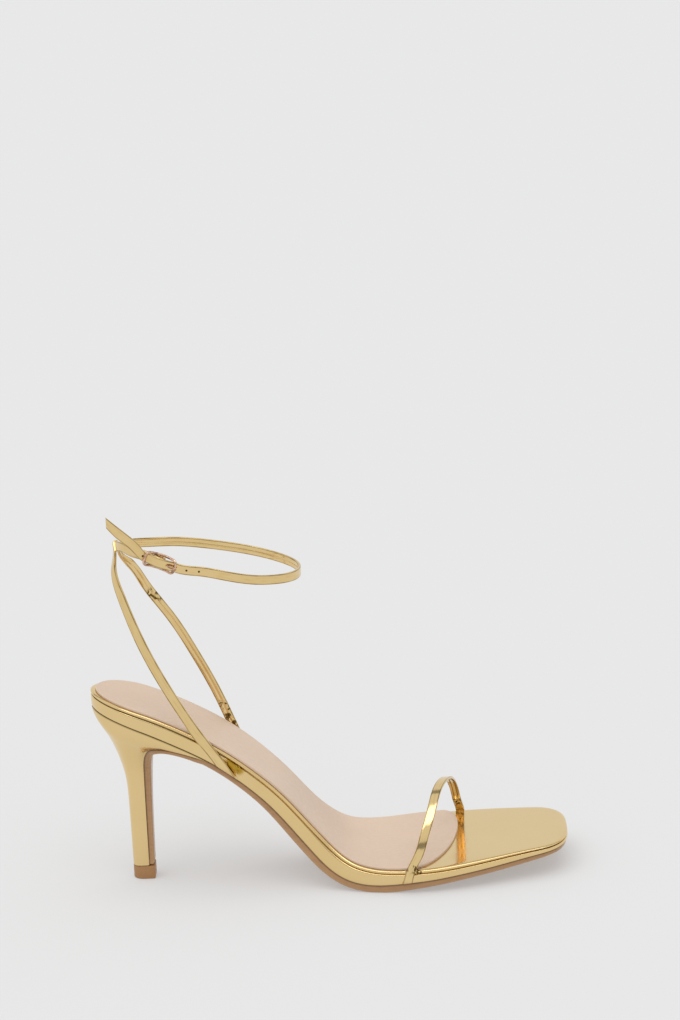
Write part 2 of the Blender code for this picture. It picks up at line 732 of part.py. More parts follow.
def ankle_strap_rows():
    """From the end folded round the buckle's bar, round the ankle, through the buckle to the free end."""
    half = buckle_axes()[2] * STRAP_WIDTH / 2
    fixed = []
    for share, lap in ((-0.62, 2), (-0.4, 2), (-0.2, 2.75)):
        u = share * BUCKLE_LENGTH
        fixed.append((buckle_point(u, 0, bow(u) - LAP * lap), half))
    for turn in np.radians([-90, -45, 0, 45, 90]):
        u, w = FOLD_RADIUS * math.cos(turn), BAR_OUT + FOLD_RADIUS * math.sin(turn)
        fixed.append((buckle_point(u, 0, w), half))
    for share in (-0.2, -0.4, -0.62):
        u = share * BUCKLE_LENGTH
        fixed.append((buckle_point(u, 0, bow(u) - LAP), half))
    free = []
    for share in (0.62, 0.4, 0.2, 0, -0.2, -0.4, -0.5):
        u = share * BUCKLE_LENGTH
        free.append((buckle_point(u, 0, bow(u)), half))
    loop = [fixed[-1][0]] + [ankle_point(*row) for row in ANKLE_ROUTE[1:]] + [free[0][0]]
    tail = [free[-1][0]] + [ankle_point(*row) for row in TAIL_ROUTE[1:]]
    end = (tail[-1], np.array([0, 0, TAIL_WIDTH / 2]))
    return fixed + upright(loop, STRAP_WIDTH)[1:-1] + free + upright(tail, STRAP_WIDTH)[1:-1] + [end]


def sling_fold():
    """Rows of the sling where it folds over the ankle strap's upper edge at the back, outside to inside."""
    line = np.array([ankle_point(*row) for row in ANKLE_ROUTE[2:7]])
    place = [spline(line[:, 1], line[:, 0]), spline(line[:, 1], line[:, 2])]
    hug = STRAP - SEWN
    crest = STRAP_WIDTH / 2 - hug + STRAP / 2 - SEWN / 2
    bend = hug * math.pi / 2
    angle = math.radians(SLING_CROSSING)
    rows = []
    over = [0, bend / 2, bend, 1.6 * STRAP + bend, 3.2 * STRAP + bend]
    for past in [-reach for reach in over[:0:-1]] + over:
        turn = min(max(past / hug, -math.pi / 2), math.pi / 2)
        height = crest + hug * math.cos(turn) - max(abs(past) - bend, 0)
        ends = []
        for reach in (-1, 1):
            y = SLING_MIDDLE + past / math.tan(angle) + reach * STRAP_WIDTH / 2 / math.sin(angle)
            slope = (place[0](y + NUDGE) - place[0](y - NUDGE)) / (2 * NUDGE)
            out = np.array([-1, slope, 0]) / math.hypot(1, slope)
            ends.append(np.array([place[0](y), y, place[1](y)]) - out * hug * math.sin(turn) + (0, 0, height))
        rows.append(((ends[0] + ends[1]) / 2, (ends[0] - ends[1]) / 2))
    return rows


def leg(rows, side, foot_row, top_row, share):
    """Rows of the sling between its foot and its fold, upwards."""
    base = bed_point(level(share), 0, 0)
    height = ANKLE_HEIGHT - base[2]
    faces = [(foot_row[0], (0, side, 0))]
    for back_by, reach, rise, facing in rows[1:]:
        middle = (base[0] - back_by * ANKLE_LENGTH, side * reach * ANKLE_WIDTH / 2, base[2] + rise * height)
        angle = math.radians(facing)
        faces.append((np.array(middle), (math.cos(angle), math.sin(angle), 0)))
    faces.append((top_row[0], (-1, 0, 0)))
    return across(faces, STRAP_WIDTH)[1:-1]


def sling_rows():
    outer = foot(OUTER_LEG_FOOT, -1, STRAP_WIDTH)[::-1]
    inner = [(middle, -half) for middle, half in foot(INNER_LEG_FOOT, 1, STRAP_WIDTH)]
    fold = sling_fold()
    up = leg(OUTER_LEG, -1, outer[-1], fold[0], OUTER_LEG_FOOT[0])
    down = leg(INNER_LEG, 1, inner[0], fold[-1], INNER_LEG_FOOT[0])[::-1]
    return outer + up + fold + down + inner


def make_straps(home, cutters, spacing):
    """The ankle strap, and the strap that rises from the arch on both sides and folds over it at the back."""
    strap = ribbon("ankle_straps", ankle_strap_rows(), STRAP, STRAP_EDGE, home, GOLD, spacing)
    sling = ribbon("sling", sling_rows(), STRAP, STRAP_EDGE, cutters, None, spacing)
    join = strap.modifiers.new("sling", "BOOLEAN")
    join.operation = "UNION"
    join.object = sling
    ring = WIRE + 2 * CLEARANCE + 2 * PRONG_WIRE
    cut(strap, box_cutter("prong_slot", -ring, FOLD_RADIUS + STRAP, BAR_OUT - 2 * FOLD_RADIUS,
                          BOW - STRAP / 2 - CLEARANCE / 2, cutters))
    cut(strap, box_cutter("prong_hole", 0.12 * BUCKLE_LENGTH, 0.32 * BUCKLE_LENGTH, BAR_OUT + WIRE,
                          BOW + STRAP, cutters))


def box_cutter(name, start, end, low, high, cutters):
    """A box across the middle of the strap, from start to end along the buckle and low to high outwards."""
    half = PRONG_WIRE + CLEARANCE
    corners = [buckle_point(u, v, w) for u in (start, end) for v in (-half, half) for w in (low, high)]

    def make(work):
        bmesh.ops.create_cube(work, size=1)
        work.verts.ensure_lookup_table()
        ordered = sorted(work.verts, key=lambda v: (v.co.x, v.co.y, v.co.z))
        for vert, corner in zip(ordered, corners):
            vert.co = corner

    return new_object(name, make, None, cutters)


def cut(item, cutter):
    modifier = item.modifiers.new(cutter.name, "BOOLEAN")
    modifier.operation = "DIFFERENCE"
    modifier.object = cutter


def make_toe_strap(home, spacing):
    return ribbon("toe_strap", toe_strap_rows(), STRAP, STRAP_EDGE, home, GOLD, spacing)


def pocket(name, place, side, width, cutters, spacing):
    """A cutter round the end of a strap's foot that leaves the clearance to it."""
    rows = foot(place, side, width, CLEARANCE)[2:]
    return ribbon(name, rows, STRAP + 1.6 * CLEARANCE, 0, cutters, None, spacing)


def wire(name, points, radius, closed, home, material):
    """A round wire along points."""
    curve = bpy.data.curves.new(name, "CURVE")
    curve.dimensions = "3D"
    curve.bevel_depth = radius
    curve.bevel_resolution = 2
    curve.use_fill_caps = not closed
    run = curve.splines.new("POLY")
    run.points.add(len(points) - 1)
    for spot, point in zip(run.points, points):
        spot.co = (*point, 1)
    run.use_cyclic_u = closed
    made = bpy.data.objects.new(name + "_curve", curve)
    home.objects.link(made)
    graph = bpy.context.evaluated_depsgraph_get()
    mesh = bpy.data.meshes.new_from_object(made.evaluated_get(graph))
    bpy.data.objects.remove(made)
    work = bmesh.new()
    work.from_mesh(mesh)
    bmesh.ops.remove_doubles(work, verts=work.verts, dist=0.01 * MM)
    bmesh.ops.recalc_face_normals(work, faces=work.faces)
    work.to_mesh(mesh)
    work.free()
    mesh.name = name
    item = bpy.data.objects.new(name, mesh)
    home.objects.link(item)
    if material:
        mesh.materials.clear()
        mesh.materials.append(new_material(name, material))
        mesh.shade_smooth()
        mesh.set_sharp_from_angle(angle=math.radians(50))
    else:
        item.hide_render = True
        item.display_type = "WIRE"
    return item


def frame_sag(u):
    """The frame is curved lengthwise: its middle bar lies behind the strap and its ends in front."""
    return BAR_OUT + (END_OUT - BAR_OUT) * (2 * u / BUCKLE_LENGTH) ** 2


def make_buckle(home, cutters, corner_steps):
    half_u = BUCKLE_LENGTH / 2
    half_v = STRAP_WIDTH / 2 + CLEARANCE + WIRE
    centre_u, centre_v = half_u - BUCKLE_CORNER, half_v - BUCKLE_CORNER
    flat = []
    for quarter, (cu, cv) in enumerate(((1, 1), (-1, 1), (-1, -1), (1, -1))):
        for k in range(corner_steps + 1):
            turn = math.pi / 2 * (quarter + k / corner_steps)
            flat.append((cu * centre_u + BUCKLE_CORNER * math.cos(turn),
                         cv * centre_v + BUCKLE_CORNER * math.sin(turn)))
        if quarter in (0, 2):
            flat += [(cu * centre_u * share, cv * half_v) for share in (0.6, 0.2, -0.2, -0.6)]
    frame = wire("buckle_frame", [buckle_point(u, v, frame_sag(u)) for u, v in flat], WIRE, True, home, ROSE)
    bar = wire("middle_bar", [buckle_point(0, v, BAR_OUT) for v in (-half_v, half_v)], WIRE * 0.98,
               False, cutters, None)
    join = frame.modifiers.new("middle bar", "BOOLEAN")
    join.operation = "UNION"
    join.object = bar

    ring = WIRE + CLEARANCE + PRONG_WIRE
    points = [buckle_point(ring * math.cos(a), 0, BAR_OUT + ring * math.sin(a))
              for a in np.radians([-70, -105, -140, -180, -215, -250, -270])]
    rest_out = END_OUT + WIRE + CLEARANCE + PRONG_WIRE
    hole = 0.22 * BUCKLE_LENGTH
    points += [buckle_point(0.5 * hole, 0, BAR_OUT + ring + CLEARANCE / 3),
               buckle_point(0.85 * hole, 0, 0.35 * BOW),
               buckle_point(1.2 * hole, 0, bow(hole) + STRAP / 2 + 0.6 * CLEARANCE + PRONG_WIRE),
               buckle_point(1.6 * hole, 0,
                            (bow(hole) + STRAP / 2 + 2 * CLEARANCE + PRONG_WIRE + rest_out) / 2),
               buckle_point(half_u, 0, rest_out),
               buckle_point(half_u + PRONG_OVERHANG, 0, rest_out - CLEARANCE / 3)]
    wire("buckle_prong", points, PRONG_WIRE, False, home, ROSE)


def main():
    for item in list(bpy.data.objects):
        bpy.data.objects.remove(item)
    home = bpy.data.collections.new("strappy_heeled_sandal")
    cutters = bpy.data.collections.new("cutters")
    for group in (home, cutters):
        bpy.context.scene.collection.children.link(group)

    steps = 12
    levels = [row[0] for row in HEEL_ROWS]
    make_insole(home, steps)
    midsole = make_midsole(home, steps)
    make_lining(home, steps)
    make_heel(home, 8, levels)
    make_top_piece(home, 8)
    make_outsole(home, steps, levels)
    spacing = 4 * MM
    make_toe_strap(home, spacing)
    make_straps(home, cutters, spacing)
    make_buckle(home, cutters, 3)
    feet = (("outer_leg", OUTER_LEG_FOOT, -1, STRAP_WIDTH),
            ("inner_leg", INNER_LEG_FOOT, 1, STRAP_WIDTH),
            ("outer_toe", OUTER_TOE_FOOT, -1, TOE_STRAP_WIDTH),
            ("inner_toe", INNER_TOE_FOOT, 1, TOE_STRAP_WIDTH))
    for name, place, side, width in feet:
        cut(midsole, pocket(name + "_pocket", place, side, width, cutters, spacing))


main()
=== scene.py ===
"""Looks of the strappy heeled sandal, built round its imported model.

Metres, +Z up. +X runs from heel to toe and +Y to the inner side of the foot. The sizes and tables are the
part's own, so each leather skin lies where its solid is.
"""
import math

import bmesh
import bpy
import numpy as np
from mathutils import Matrix, Vector


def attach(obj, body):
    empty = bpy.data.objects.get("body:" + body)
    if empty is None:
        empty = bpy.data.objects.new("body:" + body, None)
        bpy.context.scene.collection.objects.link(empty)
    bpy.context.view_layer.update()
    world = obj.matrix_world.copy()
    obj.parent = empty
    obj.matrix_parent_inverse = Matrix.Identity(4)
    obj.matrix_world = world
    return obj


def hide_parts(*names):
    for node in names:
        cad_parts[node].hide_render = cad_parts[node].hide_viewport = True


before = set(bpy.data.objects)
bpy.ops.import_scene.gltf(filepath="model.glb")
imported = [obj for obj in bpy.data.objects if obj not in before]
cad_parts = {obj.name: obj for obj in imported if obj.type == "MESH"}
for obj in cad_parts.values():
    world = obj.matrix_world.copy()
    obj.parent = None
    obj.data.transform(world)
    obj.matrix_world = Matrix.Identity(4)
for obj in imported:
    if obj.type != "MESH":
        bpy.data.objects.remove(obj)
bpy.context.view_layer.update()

MM = 0.001

# The last: its length, widths and heights
LENGTH = 218 * MM  # from the heel's back to the toe's end, measured level
BACK = 20 * MM  # from the heel's back to the axis of the slim heel
BALL_WIDTH = 77.5 * MM
SEAT_DROP = 82.3 * MM  # from the back of the seat down to the ball
TOE_SPRING = 4.4 * MM
HEEL_ROUND = 24 * MM  # length of the rounding at the heel's end
TOE_ROUND = 17 * MM  # length of the rounding at the toe's end
TOE_SQUARENESS = 3.0  # 2 is an ellipse, more is squarer

# Layers of the sole
INSOLE = 1.7 * MM
MIDSOLE = 5.8 * MM
OUTSOLE = 3.5 * MM
LINING = 0.8 * MM
CLEARANCE = 0.3 * MM  # between pieces that touch
TREAD = 0.3 * MM  # how much of the ball's curve is worn flat
LINING_INSET = 1.1 * MM
LINING_HEEL_RIM = 1.3 * MM  # how much wider the rim round the lining is at the heel's end
OUTSOLE_INSET = 0.7 * MM
LINING_REACH = 168.5 * MM  # from the heel's back to the front of the lining
LINING_OUTER_ROUND = 26.5 * MM
LINING_INNER_ROUND = 8 * MM
LINING_TIP = 22 * MM  # how far to the inner side the lining reaches furthest

# The heel
TIP_HEIGHT = 6.4 * MM
TIP_BACK = 5.2 * MM
TIP_FRONT = 2.4 * MM
TIP_WIDTH = 9.4 * MM
FLARE_WIDTH = 43.5 * MM
WEDGE_REACH = 34 * MM  # how far the heel's thin wedge runs forward under the arch
BREAST_SOLE = 3.0 * MM  # thickness of the outsole on the front of the heel

# The straps
STRAP_WIDTH = 4.4 * MM
TOE_STRAP_WIDTH = 4.1 * MM
TAIL_WIDTH = 5.0 * MM  # upright, where the free end is cut off
STRAP = 1.2 * MM
TUCK = 3.5 * MM  # how far a strap's end goes in under the midsole
FOLD = 1.0 * MM  # radius of a strap's bend under the midsole
SEWN = 0.3 * MM  # how deep the sling is sewn into the ankle strap
ANKLE_LENGTH = 85 * MM
ANKLE_WIDTH = 57 * MM
ANKLE_HEIGHT = 155 * MM
TOE_ARCH_HEIGHT = 28.8 * MM

# The buckle
BUCKLE_LENGTH = 14 * MM
WIRE = 0.6 * MM  # radius
PRONG_WIRE = 0.45 * MM
PRONG_OVERHANG = 1.0 * MM
BUCKLE_CORNER = 1.6 * MM

# Small step for the slope of a curve
NUDGE = LENGTH / 2000


def spline(xs, ys):
    """A natural cubic spline through the points, as a function of numbers or arrays."""
    xs, ys = np.asarray(xs, float), np.asarray(ys, float)
    count = len(xs)
    step = np.diff(xs)
    slope = np.diff(ys) / step
    matrix, right = np.zeros((count, count)), np.zeros(count)
    matrix[0, 0] = matrix[-1, -1] = 1
    for i in range(1, count - 1):
        matrix[i, i - 1:i + 2] = step[i - 1], 2 * (step[i - 1] + step[i]), step[i]
        right[i] = 6 * (slope[i] - slope[i - 1])
    bend = np.linalg.solve(matrix, right)

    def value(x):
        i = np.clip(np.searchsorted(xs, x) - 1, 0, count - 2)
        t = x - xs[i]
        start = slope[i] - step[i] * (2 * bend[i] + bend[i + 1]) / 6
        return ys[i] + t * start + t * t * bend[i] / 2 + t ** 3 * (bend[i + 1] - bend[i]) / (6 * step[i])

    return value


def table(names, rows):
    """Rows with named columns. Each column but the first is read as a smooth function of the first."""
    columns = list(zip(*rows))
    return {name: spline(columns[0], column) for name, column in zip(names.split()[1:], columns[1:])}


# The footbed's height. Stations are shares of LENGTH, drop of SEAT_DROP and spring of TOE_SPRING.
BED = table("station drop spring", [
    (0, 1, 0), (0.1, 0.918, 0), (0.211, 0.785, 0), (0.294, 0.652, 0), (0.349, 0.536, 0),
    (0.404, 0.393, 0), (0.459, 0.221, 0), (0.487, 0.142, 0), (0.514, 0.078, 0), (0.541, 0.035, 0),
    (0.569, 0.013, 0), (0.606, 0.001, 0), (0.64, 0, 0), (0.706, 0, 0.12), (0.78, 0, 0.38),
    (0.872, 0, 0.71), (1, 0, 1),
])

# The outline in shares of BALL_WIDTH: its width, and how far its middle lies to the inner side.
OUTLINE = table("station width shift", [
    (0, 0.54, 0), (0.11, 0.566, 0), (0.23, 0.58, -0.005), (0.35, 0.562, -0.015), (0.43, 0.55, -0.019),
    (0.47, 0.588, -0.018), (0.514, 0.722, -0.012), (0.569, 0.872, -0.004), (0.63, 0.958, 0.005),
    (0.7, 1.002, 0.016), (0.762, 0.972, 0.027), (0.82, 0.908, 0.038), (0.9, 0.79, 0.056),
    (1, 0.65, 0.078),
])

# The thickness of each layer, in shares of INSOLE, MIDSOLE and OUTSOLE
LAYERS = table("station insole midsole outsole", [
    (0, 1, 0.9, 0.74), (0.09, 1, 1, 0.74), (0.18, 1, 1.04, 0.74), (0.275, 1, 0.98, 0.74),
    (0.37, 1, 0.97, 0.78), (0.46, 1, 1.02, 0.98), (0.546, 1, 1.13, 0.98), (0.606, 1, 0.91, 1.08),
    (0.679, 1, 0.67, 0.94), (0.761, 0.98, 0.53, 0.82), (0.826, 0.84, 0.49, 0.77),
    (0.89, 0.7, 0.41, 0.74), (0.96, 0.6, 0.28, 0.62), (1, 0.58, 0.24, 0.6),
])

# The heel from its seat down to the wearing piece. Down is the share of that way, back goes from TIP_BACK
# to BACK, front from TIP_FRONT to WEDGE_REACH and flare from TIP_WIDTH to FLARE_WIDTH. Sole is the
# outsole's thickness there in shares of BREAST_SOLE.
HEEL_ROWS = [
    (0, 0.98, 1, 1, 0.86), (0.017, 0.946, 0.819, 0.98, 0.72), (0.036, 0.892, 0.637, 0.941, 0.6),
    (0.06, 0.826, 0.44, 0.883, 0.58), (0.097, 0.716, 0.262, 0.795, 0.68),
    (0.137, 0.595, 0.139, 0.677, 0.9), (0.188, 0.453, 0.063, 0.531, 1.08),
    (0.245, 0.33, 0.028, 0.384, 1.1), (0.322, 0.195, 0.012, 0.232, 1.05),
    (0.414, 0.086, 0.006, 0.123, 1), (0.53, 0.034, 0.002, 0.056, 0.94), (0.7, 0.017, 0, 0.018, 0.87),
    (1, 0, 0, 0, 0.78),
]
HEEL = table("down back front flare sole", HEEL_ROWS)
HEEL_SETTLED = 0.16  # where down the heel its plan has left the shoe's outline for its own
HEEL_CORNER = 0.10  # share of the breast's half width that its rounded corners take

# The ankle strap from the buckle's bar round the back of the ankle, past the inner side and the front to
# the buckle again: forward in shares of ANKLE_LENGTH, inwards of half ANKLE_WIDTH, up of ANKLE_HEIGHT.
ANKLE_ROUTE = [
    (0.058, -0.78, 1.048), (-0.001, -0.526, 1.053), (-0.036, -0.26, 1.043), (-0.048, 0, 1.029),
    (-0.036, 0.26, 1.0185), (-0.006, 0.474, 1.0142), (0.126, 0.772, 1.0032), (0.253, 0.926, 0.9948),
    (0.447, 0.996, 0.978), (0.642, 1, 0.9568), (0.773, 0.93, 0.94), (0.878, 0.684, 0.929),
    (0.928, 0.281, 0.9258), (0.901, -0.175, 0.929), (0.821, -0.561, 0.9394), (0.694, -0.818, 0.9529),
    (0.541, -0.961, 0.9761), (0.416, -1.005, 0.9935),
]
# The free end behind the buckle, in the same shares
TAIL_ROUTE = [
    (0.089, -1.06, 1.071), (0.003, -1.123, 1.1206), (-0.059, -1.158, 1.1568),
]
BUCKLE_AT = (0.208, -1.018, 1.0265)
BUCKLE_AHEAD = (0.149, -0.021, -0.0320)  # from the middle of the buckle towards the toe, same shares

# The strap that rises from the arch, on the outer and the inner side, from its foot up to the ankle strap:
# how far back in shares of ANKLE_LENGTH, how far out of half ANKLE_WIDTH, how far up of the way from the
# footbed at the foot to ANKLE_HEIGHT, and the level direction that it faces, away from the foot, in degrees
# from the toe towards the inner side.
OUTER_LEG = [
    (0.212, 0.842, 0.191, -90), (0.329, 0.842, 0.391, -92), (0.445, 0.754, 0.614, -99),
    (0.542, 0.526, 0.844, -124), (0.575, 0.29, 0.968, -150),
]
INNER_LEG = [
    (0.183, 0.835, 0.25, 91), (0.282, 0.814, 0.432, 94), (0.405, 0.744, 0.634, 102),
    (0.524, 0.544, 0.81, 119), (0.599, 0.232, 0.951, 146),
]
# Where the straps' feet stand: the station, and the angle between the strap going down and the sole's edge
OUTER_LEG_FOOT = (0.293, 22)
INNER_LEG_FOOT = (0.329, 30)
OUTER_TOE_FOOT = (0.655, 107)
INNER_TOE_FOOT = (0.776, 87)
SLING_CROSSING = 57  # degrees between the sling and the ankle strap that it folds over
SLING_MIDDLE = -1.2 * MM  # where the fold lies, towards the inner side

# The toe strap over the foot, from the outer side to the inner: shares of the way from its outer foot forward
# to its inner one, of half BALL_WIDTH inwards, and of TOE_ARCH_HEIGHT above the footbed.
TOE_ROUTE = [
    (0.19, -0.968, 0.228), (0.31, -0.852, 0.493), (0.425, -0.671, 0.735), (0.51, -0.464, 0.915),
    (0.585, -0.232, 0.993), (0.655, -0.03, 1), (0.745, 0.22, 0.946), (0.835, 0.535, 0.752),
    (0.905, 0.8, 0.44), (0.95, 0.965, 0.18),
]


def station(x):
    return (x + BACK) / LENGTH


def level(share):
    """The X of a station."""
    return share * LENGTH - BACK


def thickness(layer, x):
    full = {"insole": INSOLE, "midsole": MIDSOLE, "outsole": OUTSOLE}[layer]
    return full * LAYERS[layer](station(x))


def relief(x):
    """The footbed's height above the ball's."""
    return SEAT_DROP * BED["drop"](station(x)) + TOE_SPRING * BED["spring"](station(x))


def stack(x):
    """The layers' thickness together."""
    return sum(thickness(layer, x) for layer in ("insole", "midsole", "outsole")) + 2 * CLEARANCE


# How high the footbed stands over the floor at the ball, with the sole's lowest part worn flat
UNDER_BALL = level(np.linspace(0.5, 0.75, 100))
BALL_HEIGHT = np.max(stack(UNDER_BALL) - relief(UNDER_BALL)) - TREAD


def bed_height(x):
    return relief(x) + BALL_HEIGHT


def bed_point(x, y, depth):
    """The point at a depth under the footbed. The layers stack square to it, upright at the heel's back."""
    angle = np.arctan2(bed_height(x + NUDGE) - bed_height(x - NUDGE), 2 * NUDGE)
    lean = angle * np.clip(station(x) / 0.2, 0, 1) ** 2
    reach = depth / np.cos(angle - lean)
    return np.array([x + reach * np.sin(lean), y + 0 * x, bed_height(x) - reach * np.cos(lean)])


def closeness(share, reach):
    """1 at an end, down to 0 at a reach from it. Share is how far the end is, as a share of LENGTH."""
    return np.clip(1 - share * LENGTH / reach, 0, 1)


def roundness(share):
    """How much of its width the outline keeps near the heel's end and the toe's end."""
    heel, toe = closeness(share, HEEL_ROUND), closeness(1 - share, TOE_ROUND)
    return np.sqrt(1 - heel ** 2) * (1 - toe ** TOE_SQUARENESS) ** (1 / TOE_SQUARENESS)


def edge(share, side):
    """Y of the outline, side -1 for the outer edge and 1 for the inner."""
    return BALL_WIDTH * (OUTLINE["shift"](share) + side * OUTLINE["width"](share) / 2 * roundness(share))


def outline_stations(steps):
    """Stations from the heel's end to the toe's end, close together where the outline turns."""
    turn = np.linspace(0, math.pi / 2, steps + 1)
    heel = HEEL_ROUND / LENGTH * (1 - np.cos(turn))
    toe = 1 - TOE_ROUND / LENGTH * (1 - np.sin(turn) ** (2 / TOE_SQUARENESS))
    sides = np.linspace(heel[-1], toe[0], 3 * steps + 1)[1:-1]
    return np.concatenate([heel, sides, toe])


def rails(stations):
    """The outline's outer and inner edge as (X, Y) points."""
    x = level(stations)
    return [np.column_stack([x, edge(stations, side)]) for side in (-1, 1)]


def unit(vector):
    return vector / np.linalg.norm(vector)


def inset(loop, distance):
    """A closed flat loop of (X, Y) points moved inwards."""
    ahead, behind = np.roll(loop, -1, axis=0), np.roll(loop, 1, axis=0)
    run = ahead - behind
    run /= np.linalg.norm(run, axis=1)[:, None]
    area = np.sum(loop[:, 0] * ahead[:, 1] - ahead[:, 0] * loop[:, 1])
    inward = np.column_stack([-run[:, 1], run[:, 0]]) * math.copysign(1, area)
    return loop + inward * distance


def join_rings(work, rings):
    """Faces between each closed ring of vertices and the next."""
    count = len(rings[0])
    for upper, lower in zip(rings, rings[1:]):
        for k in range(count):
            work.faces.new((upper[k], upper[(k + 1) % count], lower[(k + 1) % count], lower[k]))


def close_ends(work, rings, left, right):
    """Faces straight across the first and the last ring, between its places in left and in right."""
    for ring in (rings[0], rings[-1]):
        for k in range(len(left) - 1):
            corners = (left[k], left[k + 1], right[k + 1], right[k])
            work.faces.new([ring[i] for i in dict.fromkeys(corners)])


def slab(outer, inner, profile, place):
    """A closed slab between two rails. Profile holds (inset, share of the thickness) from the top's edge over
    the side to the underside's edge. Place turns arrays of X and Y at a share into points."""
    from_point, to_point = [np.allclose(outer[k], inner[k], atol=1e-6) for k in (0, -1)]
    left = list(range(len(outer)))
    back = list(range(len(inner)))[::-1][to_point:len(inner) - from_point]
    loop = np.concatenate([outer, inner[back]])
    right = [left[0]] * from_point + list(range(len(left), len(loop)))[::-1] + [left[-1]] * to_point

    def make(work):
        rings = []
        for distance, share in profile:
            points = inset(loop, distance)
            rings.append([work.verts.new(spot) for spot in place(points[:, 0], points[:, 1], share).T])
        join_rings(work, rings)
        close_ends(work, rings, left, right)

    return make


def layer_place(top, bottom):
    """Points between two depths under the footbed, each a function of X."""
    return lambda x, y, share: bed_point(x, y, top(x) + share * (bottom(x) - top(x)))


def midsole_top(x):
    return thickness("insole", x) + CLEARANCE


def midsole_bottom(x):
    return midsole_top(x) + thickness("midsole", x)


def lining_rails(steps):
    """The lining's outer and inner edge. Its front is a skewed round, further forward on the inner side."""
    front = LINING_REACH / LENGTH
    start = front - LINING_OUTER_ROUND / LENGTH
    stations = outline_stations(steps)
    arc = start + (front - start) * np.sin(np.linspace(0, math.pi / 2, steps + 1))
    stations = np.concatenate([stations[stations < start - 0.01], arc])
    x = level(stations) + LINING_HEEL_RIM * closeness(stations, HEEL_ROUND) ** 2
    sides = []
    for side, length in ((-1, LINING_OUTER_ROUND), (1, LINING_INNER_ROUND)):
        past = closeness(front - stations, length)
        y = edge(stations, side)
        y = np.where(past > 0, LINING_TIP + (y - LINING_TIP) * np.sqrt(1 - past ** 2), y)
        sides.append(np.column_stack([x, y]))
    return sides


def under_midsole(x):
    """X and Z just under the midsole."""
    return bed_point(x, 0, midsole_bottom(x) + CLEARANCE)[::2]


SEAT = under_midsole(np.linspace(-BACK, level(0.5), 200))


def heel_height(x, down):
    seat = np.interp(x, *SEAT)
    return seat + down * (TIP_HEIGHT + CLEARANCE - seat)


def heel_span(down):
    """X of the heel's back and of its breast, and its half width, some way down."""
    back = -(TIP_BACK + (BACK - TIP_BACK) * HEEL["back"](down))
    front = TIP_FRONT + (WEDGE_REACH - TIP_FRONT) * HEEL["front"](down)
    return back, front, (TIP_WIDTH + (FLARE_WIDTH - TIP_WIDTH) * HEEL["flare"](down)) / 2


def heel_side(q, half):
    """Half width along the heel's own plan: round back, straight sides, small corners at the breast."""
    back = np.clip(1 - q / 0.5, 0, 1)
    corner = np.clip((q - 0.8) / 0.2, 0, 1)
    return half * np.sqrt(1 - back ** 2) * (1 - HEEL_CORNER * corner ** 2)


def heel_own(down):
    """How far the heel's plan has left the shoe's outline for its own, 0 to 1."""
    share = min(down / HEEL_SETTLED, 1)
    return share * share * (3 - 2 * share)


def heel_ring(down, steps):
    """One level of the heel: points from the back round the outer side, the breast and the inner side."""
    back, front, half = heel_span(down)
    turn = np.linspace(0, math.pi / 2, steps + 1)
    q = np.concatenate([0.5 * (1 - np.cos(turn)), np.linspace(0.5, 0.8, 3)[1:], [0.9, 1.0]])
    x = back + (front - back) * q
    own = heel_own(down)
    rows = []
    for side in (-1, 1):
        shoe = side * edge(station(x), side) - CLEARANCE
        y = side * np.maximum((1 - own) * shoe + own * heel_side(q, half), 0)
        y[0] = 0
        rows.append(np.column_stack([x, y]))
    return np.concatenate([rows[0], rows[1][:0:-1]])


def ring_loft(rings):
    """A closed solid through rings of points, each from the back round one side, the front and the other."""
    def make(work):
        verts = [[work.verts.new(point) for point in ring] for ring in rings]
        join_rings(work, verts)
        count = len(verts[0])
        left = range(count // 2 + 1)
        close_ends(work, verts, left, [(count - k) % count for k in left])

    return make


def sole_path(levels, spacing):
    """The outsole's upper side from the toe to the heel's tip as rows of X, Z, Y of both edges, thickness.
    Under the shoe it follows the midsole, then the wedge and the breast of the heel."""
    rows = []
    for share in outline_stations(spacing)[::-1]:
        x = level(share)
        if x < WEDGE_REACH + OUTSOLE / 2:
            break
        rows.append((*under_midsole(x), edge(share, -1), edge(share, 1), thickness("outsole", x)))
    for down in levels:
        _, front, half = heel_span(down)
        below = min(down + 0.004, 1.0)
        above = below - 0.008
        low_x, high_x = heel_span(below)[1], heel_span(above)[1]
        run_x, run_z = low_x - high_x, heel_height(low_x, below) - heel_height(high_x, above)
        run = math.hypot(run_x, run_z)
        px = front - CLEARANCE * run_z / run
        pz = heel_height(front, down) + CLEARANCE * run_x / run
        own = heel_own(down)
        half_heel = half * (1 - HEEL_CORNER)
        outer, inner = [(1 - own) * edge(station(front), side) + own * side * (half_heel + OUTSOLE_INSET)
                        for side in (-1, 1)]
        rows.append((px, pz, outer, inner, BREAST_SOLE * HEEL["sole"](down)))
    return np.array(rows)


def wrap(x, down, side):
    """A point of a strap on the side of the sole. Down is measured from the footbed over the side, round
    the midsole's lower edge and on along its underside. Side is -1 on the shoe's outer edge."""
    corner = foot_corner(x)
    turn = min(max((down - corner) / FOLD, 0), math.pi / 2)
    past = max(down - corner - FOLD * math.pi / 2, 0)
    depth = min(down, corner) + FOLD * math.sin(turn)
    inward = FOLD * (1 - math.cos(turn)) + past
    return bed_point(x, edge(station(x), side) + side * (CLEARANCE + STRAP / 2 - inward), depth)


def foot_corner(x):
    """How far down the side of the sole a strap starts to bend under the midsole."""
    return midsole_bottom(x) - STRAP / 2 - FOLD


